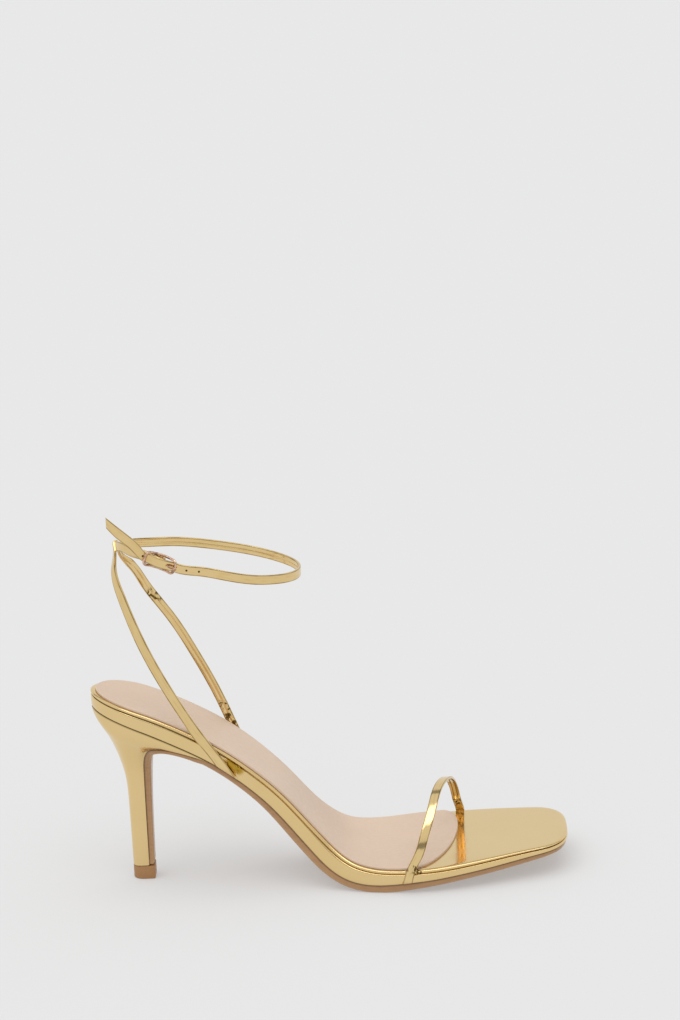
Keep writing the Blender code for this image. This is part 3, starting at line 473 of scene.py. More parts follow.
def foot(place, side, width, extra=0):
    """Rows of a strap's lower end, down the side of the sole and in under the midsole. They run along the
    sole's edge, at an angle to the strap."""
    share, angle = place[0], math.radians(place[1])
    x0 = level(share)
    corner = foot_corner(x0)
    steps = [corner * part for part in (0.1, 0.55, 1)]
    steps += [corner + FOLD * turn for turn in np.radians([30, 60, 90])]
    steps += [steps[-1] + TUCK / 2, steps[-1] + TUCK + extra]
    level_share = 1 / math.hypot(1, (bed_height(x0 + NUDGE) - bed_height(x0 - NUDGE)) / (2 * NUDGE))
    half = (width / 2 + extra) / math.sin(angle) * level_share
    rows = []
    for down in steps:
        x = x0 + (down - corner) / math.tan(angle) * level_share
        heelward, toeward = wrap(x - half, down, side), wrap(x + half, down, side)
        rows.append(((heelward + toeward) / 2, (toeward - heelward) / 2))
    return rows


def across(rows, width):
    """Rows of middle points and half widths from middle points and the directions that the strap faces in."""
    middles = np.array([row[0] for row in rows])
    runs = np.gradient(middles, axis=0)
    halves = [np.cross(run, face) for run, (_, face) in zip(runs, rows)]
    return [(middle, unit(half) * width / 2) for middle, half in zip(middles, halves)]


def toe_strap_rows():
    outer = foot(OUTER_TOE_FOOT, -1, TOE_STRAP_WIDTH)[::-1]
    inner = foot(INNER_TOE_FOOT, 1, TOE_STRAP_WIDTH)
    start, end = level(OUTER_TOE_FOOT[0]), level(INNER_TOE_FOOT[0])
    faces = [(outer[-1][0], (0, -1, 0))]
    for lead, reach, rise in TOE_ROUTE:
        x = start + (end - start) * lead
        middle = np.array([x, reach * BALL_WIDTH / 2, bed_height(x) + rise * TOE_ARCH_HEIGHT])
        turn = math.pi / 2 * reach
        faces.append((middle, (0, math.sin(turn), math.cos(turn))))
    faces.append((inner[0][0], (0, 1, 0)))
    return outer + across(faces, TOE_STRAP_WIDTH)[1:-1] + inner


def ankle_point(forward, inner, rise):
    return np.array([forward * ANKLE_LENGTH, inner * ANKLE_WIDTH / 2, rise * ANKLE_HEIGHT])


def upright(middles, width):
    """Rows of a strap whose width stands as upright as its run allows."""
    runs = np.gradient(np.array(middles), axis=0)
    rows = []
    for middle, run in zip(middles, runs):
        half = np.array([0, 0, 1.0]) - run * run[2] / np.dot(run, run)
        rows.append((middle, unit(half) * width / 2))
    return rows


def buckle_axes():
    """The middle of the buckle and its directions: ahead along the strap, up across it, and out."""
    middle = ankle_point(*BUCKLE_AT)
    ahead = unit(ankle_point(*BUCKLE_AHEAD))
    out = unit(np.cross(ahead, (0, 0, 1.0)))
    return middle, ahead, np.cross(out, ahead), out


def buckle_point(ahead_by, up_by, out_by):
    middle, ahead, up, out = buckle_axes()
    return middle + ahead * ahead_by + up * up_by + out * out_by


BAR_OUT = -(STRAP + CLEARANCE) / 2 - WIRE - CLEARANCE / 2  # how far in the buckle's middle bar lies
BOW = BAR_OUT + WIRE + 2 * CLEARANCE + 1.5 * STRAP  # how far out the strap passes over the bar
END_OUT = STRAP / 2 + CLEARANCE + WIRE  # how far out the buckle's end bars lie
LAP = STRAP + CLEARANCE  # between the free strap and the fixed one under it
FOLD_RADIUS = WIRE + CLEARANCE + STRAP / 2


def bow(ahead_by):
    """How far out the strap lies along the buckle."""
    share = np.clip(abs(ahead_by) / (0.5 * BUCKLE_LENGTH), 0, 1)
    return BOW * math.cos(share * math.pi / 2) ** 2


def ankle_strap_rows():
    """From the end folded round the buckle's bar, round the ankle, through the buckle to the free end."""
    half = buckle_axes()[2] * STRAP_WIDTH / 2

    def under(share, laps):
        """A row in the buckle, some laps in from the free strap."""
        u = share * BUCKLE_LENGTH
        return buckle_point(u, 0, bow(u) - LAP * laps), half

    fixed = [under(-0.62, 2), under(-0.4, 2), under(-0.2, 2.75)]
    for turn in np.radians([-90, -45, 0, 45, 90]):
        u, w = FOLD_RADIUS * math.cos(turn), BAR_OUT + FOLD_RADIUS * math.sin(turn)
        fixed.append((buckle_point(u, 0, w), half))
    fixed += [under(share, 1) for share in (-0.2, -0.4, -0.62)]
    free = [under(share, 0) for share in (0.62, 0.4, 0.2, 0, -0.2, -0.4, -0.5)]
    loop = [fixed[-1][0]] + [ankle_point(*row) for row in ANKLE_ROUTE] + [free[0][0]]
    tail = [free[-1][0]] + [ankle_point(*row) for row in TAIL_ROUTE]
    end = (tail[-1], np.array([0, 0, TAIL_WIDTH / 2]))
    return fixed + upright(loop, STRAP_WIDTH)[1:-1] + free + upright(tail, STRAP_WIDTH)[1:-1] + [end]


def sling_fold():
    """Rows of the sling where it folds over the ankle strap's upper edge at the back, outside to inside."""
    line = np.array([ankle_point(*row) for row in ANKLE_ROUTE[1:6]])
    place = [spline(line[:, 1], line[:, 0]), spline(line[:, 1], line[:, 2])]
    hug = STRAP - SEWN
    crest = STRAP_WIDTH / 2 - hug + STRAP / 2 - SEWN / 2
    bend = hug * math.pi / 2
    angle = math.radians(SLING_CROSSING)
    rows = []
    over = [0, bend / 2, bend, 1.6 * STRAP + bend, 3.2 * STRAP + bend]
    for past in [-reach for reach in over[:0:-1]] + over:
        turn = min(max(past / hug, -math.pi / 2), math.pi / 2)
        height = crest + hug * math.cos(turn) - max(abs(past) - bend, 0)
        ends = []
        for reach in (-1, 1):
            y = SLING_MIDDLE + past / math.tan(angle) + reach * STRAP_WIDTH / 2 / math.sin(angle)
            slope = (place[0](y + NUDGE) - place[0](y - NUDGE)) / (2 * NUDGE)
            out = np.array([-1, slope, 0]) / math.hypot(1, slope)
            ends.append(np.array([place[0](y), y, place[1](y)]) - out * hug * math.sin(turn) + (0, 0, height))
        rows.append(((ends[0] + ends[1]) / 2, (ends[0] - ends[1]) / 2))
    return rows


def leg(rows, side, foot_row, top_row, share):
    """Rows of the sling between its foot and its fold, upwards."""
    base = bed_point(level(share), 0, 0)
    height = ANKLE_HEIGHT - base[2]
    faces = [(foot_row[0], (0, side, 0))]
    for back_by, reach, rise, facing in rows:
        middle = (base[0] - back_by * ANKLE_LENGTH, side * reach * ANKLE_WIDTH / 2, base[2] + rise * height)
        angle = math.radians(facing)
        faces.append((np.array(middle), (math.cos(angle), math.sin(angle), 0)))
    faces.append((top_row[0], (-1, 0, 0)))
    return across(faces, STRAP_WIDTH)[1:-1]


def sling_rows():
    outer = foot(OUTER_LEG_FOOT, -1, STRAP_WIDTH)[::-1]
    inner = [(middle, -half) for middle, half in foot(INNER_LEG_FOOT, 1, STRAP_WIDTH)]
    fold = sling_fold()
    up = leg(OUTER_LEG, -1, outer[-1], fold[0], OUTER_LEG_FOOT[0])
    down = leg(INNER_LEG, 1, inner[0], fold[-1], INNER_LEG_FOOT[0])[::-1]
    return outer + up + fold + down + inner


def frame_sag(u):
    """The frame is curved lengthwise: its middle bar lies behind the strap and its ends in front."""
    return BAR_OUT + (END_OUT - BAR_OUT) * (2 * u / BUCKLE_LENGTH) ** 2


# Finishes. Colours are linear; the gold is what a mirror-bright foil shows of a light grey room.
GOLD_LIGHT = (0.828, 0.62, 0.303)
GOLD_DEEP = (0.7, 0.49, 0.19)
# Painted shade: dark lines where the layers meet, dark reflections along the straps' folded edges, and the
# holes' inside
GOLD_PAINTED_SHADE = (0.3, 0.2, 0.07)
# Painted shade in the folds of crinkles
GOLD_CREASE_SHADE = (0.15, 0.09, 0.02)
# Painted reflection: the deep amber of gold that mirrors gold
GOLD_AMBER_REFLECTION = (0.48, 0.29, 0.035)
LINING_LIGHT = (0.652, 0.492, 0.366)
LINING_DEEP = (0.605, 0.453, 0.335)
SOLE_SIDE = (0.4, 0.212, 0.085)
# Painted shade under the midsole's overhang, at the top of the sole's side
SOLE_TOP_SHADE = (0.15, 0.075, 0.03)
# Painted bounce light from the floor, lower down the sole's side
SOLE_LOW_BOUNCE_LIGHT = (0.47, 0.27, 0.122)
TIP_TAN = (0.36, 0.18, 0.066)
ROSE_GOLD = (0.8, 0.56, 0.42)
ROSE_DARK = (0.26, 0.13, 0.07)
GROOVE_SHADE_FADES = (30 * MM, 60 * MM)  # ahead of the heel: the painted shade lines between the layers fade here
THREAD = (0.42, 0.29, 0.13)
# Painted shade inside the strap's holes
HOLE_SHADE = (0.12, 0.08, 0.035)
FLOOR_GREY = (0.409, 0.409, 0.41)
FLOOR_GLOW = 0.322  # the floor is lit from below as well, as on a light table
FLOOR_HALF = 20  # metres from its middle to its edge
ROOM_GREY = (0.806, 0.806, 0.806)
CARD_GREY = (0.02, 0.02, 0.02)
SUN_ENERGY = 1.25
SUN_SPREAD = 70  # degrees
SUN_TURN = (14, -10, 0)  # degrees round X, Y and Z, from straight down
SHOE_MIDDLE = (0.09, 0, 0.05)

# Cards that face the shoe: name, centre and size in metres, strength
CARDS = [
    ("soft_box", (0.3, -0.35, 1.6), (1.5, 0.7), 2.6),
    ("dark_card_behind", (0.1, 1.1, 1.25), (3.0, 0.30), 0.25),
    ("dark_card_front", (0.1, -1.3, 1.0), (3.0, 0.35), 0.25),
]

# Fineness of the skins
OUTLINE_STEPS = 40
HEEL_STEPS = 24
HEEL_LEVELS = 70
STRAP_SPACING = 0.7 * MM
SOLE_STEP, STRAP_STEP = 0.2 * MM, 0.05 * MM  # how far to either side of a point its slope is taken
STRAP_ROUND = 0.36 * MM  # radius of a strap's folded edges
SEAM_DEPTH = 0.16 * MM  # where the folded edges meet, along the middle of a strap's inner face
SEAM_HALF = 0.28 * MM
STREAKS_REACH = 100 * MM  # how much of a strap one unit of its UV map covers

# Holes along the ankle strap, from the middle of the buckle towards the toe, and their radius
HOLES = (-8.6 * MM, 12.6 * MM, 18.2 * MM)
HOLE_RADIUS = 0.5 * MM
CORNERS = ((1, 1), (-1, 1), (-1, -1), (1, -1))  # of a rounded section or frame, in order
FOLDED_END_ROWS = 14  # rows of the ankle strap's end that is folded round the buckle's bar
SEWN_ROWS = (9, 11)  # rows between which that end is sewn down
STITCH_PITCH = 1.1 * MM
STITCH_RADIUS = 0.14 * MM
STITCH_SHAPE = (2.6, 1, 0.8, 1)  # long along the strap and a little flat
STITCH_ACROSS = 0.62  # from the strap's middle, in half widths

# The camera of the photograph: degrees, metres and the focal length in pixels of its 1020 pixel height
CAMERA_AZIMUTH = 1.5
CAMERA_ELEVATION = 17.8
CAMERA_ROLL = -2.75
CAMERA_PAN = 0.423
CAMERA_TILT = 3.802
CAMERA_DISTANCE = 1.5
CAMERA_TARGET = (0.088, 0, 0.07)
FOCAL_PIXELS = 3232.8
FRAME_PIXELS = 1020


class Nodes:
    """A material's node tree with its Principled shader and short ways to add to it."""

    def __init__(self, name, colour, roughness, metallic=0.0):
        self.material = bpy.data.materials.new(name)
        self.material.use_nodes = True
        self.tree = self.material.node_tree
        self.shader = self.tree.nodes["Principled BSDF"]
        self.set(self.shader, "Base Color", (*colour, 1))
        self.set(self.shader, "Roughness", roughness)
        self.set(self.shader, "Metallic", metallic)
        self.place = self.add("ShaderNodeTexCoord").outputs["Object"]

    def add(self, kind, inputs=(), **values):
        node = self.tree.nodes.new(kind)
        for key, value in values.items():
            setattr(node, key, value)
        for socket, value in dict(inputs).items():
            self.set(node, socket, value)
        return node

    def set(self, node, socket, value):
        if isinstance(value, bpy.types.NodeSocket):
            self.tree.links.new(value, node.inputs[socket])
        else:
            node.inputs[socket].default_value = value

    def noise(self, scale, detail=2.0, distortion=0.0, stretch=None, place=None):
        place = place or self.place
        if stretch:
            place = self.add("ShaderNodeMapping", {"Scale": stretch, "Vector": place}).outputs[0]
        inputs = {"Vector": place, "Scale": scale, "Detail": detail, "Distortion": distortion}
        return self.add("ShaderNodeTexNoise", inputs).outputs["Fac"]

    def uv(self, name):
        return self.add("ShaderNodeUVMap", uv_map=name).outputs[0]

    def axis(self, name, place):
        return self.add("ShaderNodeSeparateXYZ", {0: place}).outputs[name]

    def cells(self, scale):
        inputs = {"Vector": self.place, "Scale": scale}
        return self.add("ShaderNodeTexVoronoi", inputs, feature="DISTANCE_TO_EDGE").outputs["Distance"]

    def math(self, operation, a, b=0.0):
        return self.add("ShaderNodeMath", {0: a, 1: b}, operation=operation).outputs[0]

    def ramp(self, value, low, high, to_low=0.0, to_high=1.0):
        inputs = enumerate((value, low, high, to_low, to_high))
        return self.add("ShaderNodeMapRange", inputs, interpolation_type="SMOOTHSTEP").outputs[0]

    def near(self, point, radius):
        """1 at a point of the object, fading to 0 at the radius."""
        node = self.add("ShaderNodeVectorMath", {0: self.place, 1: point}, operation="DISTANCE")
        return self.ramp(node.outputs["Value"], 0.0, radius, 1.0, 0.0)

    def mix(self, share, first, second):
        inputs = {0: share}
        for socket, colour in ((6, first), (7, second)):
            inputs[socket] = (*colour, 1) if isinstance(colour, tuple) else colour
        return self.add("ShaderNodeMix", inputs, data_type="RGBA").outputs[2]

    def bump(self, height, distance, strength=1.0, under=None):
        inputs = {"Height": height, "Distance": distance, "Strength": strength}
        if under:
            inputs["Normal"] = under
        return self.add("ShaderNodeBump", inputs).outputs[0]

    def finish(self, colour=None, roughness=None, normal=None, others=()):
        sockets = {"Base Color": colour, "Roughness": roughness, "Normal": normal, **dict(others)}
        for socket, value in sockets.items():
            if value is not None:
                self.set(self.shader, socket, value)
        return self.material


def gold_leather(name, swell=0.10 * MM, crinkled=(), amber_reflection=(), groove=(), strap=False):
    """Smooth foil leather: long soft swells, a faint grain, and crinkles near some points (point, radius)
    with painted shade in their folds. Amber points get a painted reflection: the deep colour of gold that
    mirrors itself. Groove lists where painted shade darkens a layer towards its neighbour: two heights down
    its edge, 0 to 1, and 1 if the first of them is the dark one or else 0. A strap has streaks along it and
    painted dark reflections along its folded edges."""
    look = Nodes("gold foil leather, " + name, GOLD_LIGHT, 0.13, metallic=1.0)
    colour = look.mix(look.ramp(look.noise(30, 2), 0.35, 0.75, 0.0, 0.25), GOLD_LIGHT, GOLD_DEEP)
    if strap:
        along = look.uv("along_across")
        streaks = look.noise(1.0, 2, 0, (14, 5, 1), along)
        colour = look.mix(look.ramp(streaks, 0.45, 0.75, 0.0, 0.55), colour, GOLD_DEEP)
        # Painted dark reflections along the strap's folded edges, a little uneven
        off_middle = look.math("ABSOLUTE", look.math("SUBTRACT", look.axis("Y", along), 0.5))
        inside, outside = look.ramp(off_middle, 0.36, 0.41), look.ramp(off_middle, 0.46, 0.49, 1.0, 0.25)
        uneven = look.ramp(look.noise(160, 2), 0.3, 0.7, 0.45, 1.0)
        line = look.math("MULTIPLY", look.math("MULTIPLY", inside, outside), uneven)
        colour = look.mix(line, colour, GOLD_PAINTED_SHADE)
    if groove:
        # Painted shade in the grooves where the layers meet, fading ahead of the heel
        down = look.axis("Y", look.uv("down"))
        groove_shade_strength = look.ramp(look.axis("X", look.place), *GROOVE_SHADE_FADES, 0.8, 0.25)
        for low, high, low_shade in groove:
            shade = look.ramp(down, low, high, low_shade, 1.0 - low_shade)
            colour = look.mix(look.math("MULTIPLY", shade, groove_shade_strength), colour, GOLD_PAINTED_SHADE)
    normal = look.bump(look.noise(55, 1.5, 0.3), swell)
    normal = look.bump(look.noise(900, 3), 0.006 * MM, under=normal)
    # Painted amber reflection of gold on gold, over real bumps
    for point, radius in amber_reflection:
        folds = look.ramp(look.noise(330, 2, 0.8), 0.32, 0.60, 0.25, 1.0)
        patch = look.math("MULTIPLY", folds, look.near(point, radius))
        colour = look.mix(look.ramp(patch, 0.02, 0.75), colour, GOLD_AMBER_REFLECTION)
        normal = look.bump(patch, 0.8 * MM, under=normal)
    for point, radius in crinkled:
        folds = look.noise(330, 2, 1.6)
        near = look.near(point, radius)
        normal = look.bump(look.math("MULTIPLY", folds, near), 0.75 * MM, under=normal)
        # Painted shade in the deeper folds of the crinkles
        dark = look.math("MULTIPLY", look.ramp(folds, 0.50, 0.60), look.ramp(near, 0.1, 0.5))
        colour = look.mix(dark, colour, GOLD_CREASE_SHADE)
    roughness = look.ramp(look.noise(140, 3), 0.3, 0.7, 0.10, 0.17)
    return look.finish(colour, roughness, normal)


def lining_leather():
    look = Nodes("pink lining leather", LINING_LIGHT, 0.5)
    pores = look.ramp(look.cells(1500), 0.0, 0.35)
    fine = look.bump(pores, 0.035 * MM, 0.6)
    creases = look.bump(look.noise(260, 4, 0.5), 0.10 * MM, 0.5, under=fine)
    normal = look.bump(look.noise(40, 2), 0.5 * MM, 0.35, under=creases)
    colour = look.mix(look.ramp(look.noise(24, 3), 0.30, 0.75), LINING_LIGHT, LINING_DEEP)
    roughness = look.ramp(look.noise(500, 3), 0.3, 0.7, 0.42, 0.58)
    return look.finish(colour, roughness, normal, {"Sheen Weight": 0.12})


def sole_leather():
    """Lacquered tan sole: painted shade in a dark line under the upper's overhang, painted bounce light lower
    down. V runs down the sole's side.
    """
    look = Nodes("lacquered tan sole", SOLE_SIDE, 0.3)
    down = look.axis("Y", look.uv("along_down"))
    fibres = look.noise(700, 4, 0.2, (0.25, 1, 1))
    # Painted bounce light lower down the side; painted shade in a dark line at its top
    colour = look.mix(look.ramp(down, 0.45, 0.85), SOLE_SIDE, SOLE_LOW_BOUNCE_LIGHT)
    line = look.ramp(down, 0.05, 0.25, 0.6, 0.0)
    colour = look.mix(look.math("ADD", line, look.ramp(fibres, 0.4, 0.8, 0.0, 0.2)), colour, SOLE_TOP_SHADE)
    lacquer = {"Coat Weight": 0.35, "Coat Roughness": 0.12}
    return look.finish(colour, normal=look.bump(fibres, 0.03 * MM, 0.5), others=lacquer)


def tip_rubber():
    look = Nodes("tan wearing piece", TIP_TAN, 0.42)
    speckle = look.noise(1400, 3)
    colour = look.mix(look.ramp(speckle, 0.45, 0.75, 0.0, 0.5), TIP_TAN, SOLE_SIDE)
    return look.finish(colour, normal=look.bump(speckle, 0.03 * MM, 0.5))


def rose_metal():
    """Plated wire, darker in random patches."""
    look = Nodes("rose gold metal", ROSE_GOLD, 0.16, metallic=1.0)
    colour = look.mix(look.ramp(look.noise(420, 2, 0.6), 0.42, 0.66, 0.0, 0.8), ROSE_GOLD, ROSE_DARK)
    return look.finish(colour, look.ramp(look.noise(600, 3), 0.3, 0.7, 0.14, 0.26))


# Painted shade for the discs inside the strap's holes
def painted_hole_shade():
    look = Nodes("painted hole shade", HOLE_SHADE, 0.7)
    return look.finish(look.mix(look.ramp(look.noise(2000, 2), 0.3, 0.7, 0.0, 0.4), HOLE_SHADE, GOLD_PAINTED_SHADE))


def thread_cotton():
    look = Nodes("sewing thread", THREAD, 0.6)
    return look.finish(normal=look.bump(look.noise(3000, 2), 0.02 * MM))


def link(name, data):
    """An object of its own in the scene."""
    item = bpy.data.objects.new(name, data)
    bpy.context.scene.collection.objects.link(item)
    return item


def final_mesh(item):
    """An object's mesh with its modifiers or its bevel applied."""
    graph = bpy.context.evaluated_depsgraph_get()
    return bpy.data.meshes.new_from_object(item.evaluated_get(graph))


def add_object(name, mesh, material, sharp=40):
    mesh.materials.clear()
    mesh.materials.append(material)
    mesh.shade_smooth()
    mesh.set_sharp_from_angle(angle=math.radians(sharp))
    return link(name, mesh)


def mesh_object(name, make, material, sharp=40):
    """An object from a function that fills a bmesh."""
    mesh = bpy.data.meshes.new(name)
    work = bmesh.new()
    make(work)
    work.normal_update()
    bmesh.ops.recalc_face_normals(work, faces=work.faces)
    work.to_mesh(mesh)
    work.free()
    return add_object(name, mesh, material, sharp)


def dress(item, node, extra=False):
    """The piece rides on the shoe's body. It stands for the node, whose imported mesh it hides, unless it is
    extra.
    """
    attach(item, "root")
    if not extra:
        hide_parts(node)


def round_edge(radius_in, radius_share, points=6):
    """Profile rows (inset, share of the thickness) of a rounded upper edge."""
    turn = np.linspace(0, math.pi / 2, points)
    return [(radius_in * (1 - math.sin(a)), radius_share * (1 - math.cos(a))) for a in turn]


def dress_insole():
    side = [(0, 0.62), (0.08 * MM, 0.78), (0.25 * MM, 0.9), (0.6 * MM, 1)]
    profile = [(3.4 * MM, 0)] + round_edge(2.2 * MM, 0.5, 9) + side
    place = layer_place(lambda x: 0 * x, lambda x: thickness("insole", x))
    make = slab(*rails(outline_stations(OUTLINE_STEPS)), profile, place)
    x = level(OUTER_TOE_FOOT[0])
    beside_strap = bed_point(x + 3 * MM, edge(OUTER_TOE_FOOT[0], -1), 0)
    # Painted shade in the groove along the lower edge and in the crinkles beside the toe strap's foot
    gold = gold_leather("insole", 0.03 * MM, [(beside_strap, 8 * MM)], groove=[(0.80, 0.95, 0)])
    skin = mesh_object("insole_skin", make, gold)
    mark_rings(skin, [share for _, share in profile])
    dress(skin, "insole")


def dress_midsole():
    side = [(0, 0.3), (0, 0.6), (0, 0.84), (0.06 * MM, 0.92), (0.16 * MM, 0.97), (0.3 * MM, 1)]
    groove = [(1.6 * MM, -0.055), (0.95 * MM, -0.055)]
    profile = groove + round_edge(0.8 * MM, 0.16, 6) + side
    place = layer_place(midsole_top, midsole_bottom)
    make = slab(*rails(outline_stations(OUTLINE_STEPS)), profile, place)
    spots = []
    for ahead, radius in ((2.0 * MM, 5.0 * MM), (5.5 * MM, 4.5 * MM)):
        x = level(OUTER_LEG_FOOT[0]) + ahead
        spots.append((bed_point(x, edge(station(x), -1), 3.0 * MM), radius))
    # Painted amber reflection beside the outer leg's foot; painted shade in the grooves along the upper and
    # lower edge
    gold = gold_leather("midsole", amber_reflection=spots, groove=[(0.015, 0.06, 1), (0.94, 0.985, 0)])
    skin = mesh_object("midsole_skin", make, gold)
    mark_rings(skin, [share for _, share in profile])
    dress(skin, "midsole")


def dress_lining():
    """The lining with rounded edges, a little lower inside than along its rim."""
    dished = [(LINING_INSET + inward * MM, share) for inward, share in ((2.8, 0.10), (1.8, 0.03), (1.0, 0))]
    edge_rows = [(LINING_INSET + across, share) for across, share in round_edge(0.5 * MM, 0.5)]
    profile = dished + edge_rows + [(LINING_INSET, 1), (LINING_INSET + 0.1 * MM, 1.375)]
    place = layer_place(lambda x: -CLEARANCE - LINING, lambda x: -CLEARANCE)
    make = slab(*lining_rails(OUTLINE_STEPS), profile, place)
    skin = mesh_object("sock_lining_skin", make, lining_leather())
    dress(skin, "sock_lining")


def dress_heel():
    levels = np.linspace(0, 1, HEEL_LEVELS) ** 1.8
    rings = [[(x, y, heel_height(x, down)) for x, y in heel_ring(down, HEEL_STEPS)] for down in levels]
    seat = inset(heel_ring(0, HEEL_STEPS), 0.5 * MM)
    rings.insert(0, [(x, y, heel_height(x, 0) + CLEARANCE) for x, y in seat])
    # Painted shade along the top edge, where the heel meets the midsole
    gold = gold_leather("heel", groove=[(0.002, 0.012, 1)])
    skin = mesh_object("heel_cover", ring_loft(rings), gold)
    mark_rings(skin, [-0.1] + list(levels))
    dress(skin, "heel")


def dress_top_piece():
    plan = heel_ring(1.0, HEEL_STEPS)
    front = TIP_FRONT + CLEARANCE + BREAST_SOLE * HEEL["sole"](1.0)
    plan[:, 0] = (plan[:, 0] + TIP_BACK) * (front + TIP_BACK) / (TIP_FRONT + TIP_BACK) - TIP_BACK
    top = TIP_HEIGHT / MM
    rows = ((top, 0.25), (top - 0.08, 0.08), (top - 0.25, 0), (0.5, 0), (0.2, 0.12), (0, 0.4))
    rings = [[(x, y, z * MM) for x, y in inset(plan, in_by * MM)] for z, in_by in rows]
    dress(mesh_object("wearing_piece", ring_loft(rings), tip_rubber()), "top_piece")


def dress_outsole():
    levels = [row[0] for row in HEEL_ROWS]
    fine = np.interp(np.linspace(1, len(levels) - 1, 5 * len(levels)), range(len(levels)), levels)
    path = sole_path(fine, OUTLINE_STEPS)
    line, reach = curve_through(path[:, :2])
    depth = spline(reach, path[:, 4])
    marks = []

    def place(along, y, share):
        run = line(along + SOLE_STEP) - line(along - SOLE_STEP)
        run_x, run_z = run / np.hypot(*run)
        x, z = line(along)
        down = share * depth(along)
        marks.extend((s, share) for s in along)
        return np.array([x - down * run_z, y, np.maximum(z + down * run_x, 0)])

    outer, inner = [np.column_stack([reach, path[:, k]]) for k in (2, 3)]
    rows = ((0.7, -0.1), (0.25, -0.06), (0.06, 0.03), (0, 0.12), (0, 0.4), (0, 0.6), (0.14, 0.75),
            (0.4, 0.88), (0.75, 0.96), (1.1, 1))
    profile = [(OUTSOLE_INSET + in_by * MM, share) for in_by, share in rows]
    item = mesh_object("outsole_skin", slab(outer, inner, profile, place), sole_leather())
    mark_uv(item, "along_down", marks)
    dress(item, "outsole")


def curve_through(points):
    """A smooth line's points as a function of the distance along it, and the distance of each point."""
    points = np.array(points)
    reach = np.concatenate([[0], np.cumsum(np.linalg.norm(np.diff(points, axis=0), axis=1))])
    lines = [spline(reach, column) for column in points.T]
    return lambda s: np.array([line(s) for line in lines]), reach


def strap_line(rows):
    """A strap's middle, half width and face as a function of the distance along it, and its rows' reach."""
    rows = np.array(rows).reshape(len(rows), 6)
    middle, reach = curve_through(rows[:, :3])

    def at(s):
        half = np.array([np.interp(s, reach, column) for column in rows.T[3:]])
        ahead = middle(s + STRAP_STEP) - middle(s - STRAP_STEP)
        return middle(s), half, unit(np.cross(ahead, half))

    return at, reach


def strap_section(half_width, seam):
    """Points (across, out) round a strap's section with folded round edges. Seam is 1 where the edges meet on
    the side that faces out, -1 on the other side."""
    turn = np.linspace(0, math.pi / 2, 5)
    side, flat = half_width - STRAP_ROUND, STRAP / 2 - STRAP_ROUND
    points = []
    for quarter, (a, b) in enumerate(CORNERS):
        for t in turn + quarter * math.pi / 2:
            points.append((a * side + STRAP_ROUND * math.cos(t), b * flat + STRAP_ROUND * math.sin(t)))
        if quarter in (0, 2):
            spread = (0.5 * side, SEAM_HALF, 0, -SEAM_HALF, -0.5 * side)
            sunk = (0, 0, SEAM_DEPTH * max(seam * b, 0), 0, 0)
            points += [(a * u, b * (STRAP / 2 - depth)) for u, depth in zip(spread, sunk)]
    return points


def strap_skin(name, rows, material, seam):
    """A leather strap lofted along its rows. Seam gives the seam's side from the distance along the strap."""
    at, reach = strap_line(rows)
    marks = []

    def make(work):
        rings = []
        for s in np.linspace(0, reach[-1], round(reach[-1] / STRAP_SPACING)):
            point, half, face = at(s)
            width = np.linalg.norm(half)
            ring = strap_section(width, seam(s))
            rings.append([work.verts.new(point + half / width * a + face * b) for a, b in ring])
            marks.extend((s / STREAKS_REACH, 0.5 + a / width / 2) for a, _ in ring)
        join_rings(work, rings)
        for ring in (rings[0], rings[-1]):
            work.faces.new(ring)

    item = mesh_object(name, make, material, 50)
    mark_uv(item, "along_across", marks)
    return item


def mark_uv(item, name, marks):
    """A UV map from one mark for each vertex."""
    layer = item.data.uv_layers.new(name=name)
    for loop in item.data.loops:
        layer.data[loop.index].uv = marks[loop.vertex_index]


def mark_rings(item, shares):
    """A UV map whose V is one share for each ring of the mesh's vertices."""
    count = len(item.data.vertices) // len(shares)
    mark_uv(item, "down", [(0, share) for share in shares for _ in range(count)])


def add_disc(work, point, face, depth):
    """A disc as wide as a hole, square to the strap's face."""
    turn = Vector((0, 0, 1)).rotation_difference(Vector(face)).to_matrix().to_4x4()
    bmesh.ops.create_cone(work, cap_ends=True, segments=20, radius1=HOLE_RADIUS, radius2=HOLE_RADIUS,
                          depth=depth, matrix=Matrix.Translation(Vector(point)) @ turn)


def pierce(item, places):
    """Holes through a strap at (point, face) places."""
    mesh, work = bpy.data.meshes.new("hole cutter"), bmesh.new()
    for point, face in places:
        add_disc(work, point, face, 2.6 * STRAP)
    work.to_mesh(mesh)
    work.free()
    cutter = link("hole cutter", mesh)
    item.modifiers.new("holes", "BOOLEAN").object = cutter
    item.data = final_mesh(item)
    item.modifiers.clear()
    bpy.data.objects.remove(cutter)


def stitches(name, at, start, end):
    """A row of short stitches along a strap's lower edge, on its inner face."""
    def make(work):
        for s in np.arange(start, end, STITCH_PITCH):
            point, half, face = at(s)
            spot = Vector(point - half * STITCH_ACROSS - face * STRAP / 2)
            turn = Vector((1, 0, 0)).rotation_difference(Vector(np.cross(half, face))).to_matrix().to_4x4()
            shape = Matrix.Translation(spot) @ turn @ Matrix.Diagonal(STITCH_SHAPE)
            bmesh.ops.create_uvsphere(work, u_segments=8, v_segments=6, radius=STITCH_RADIUS, matrix=shape)

    return mesh_object(name, make, thread_cotton())


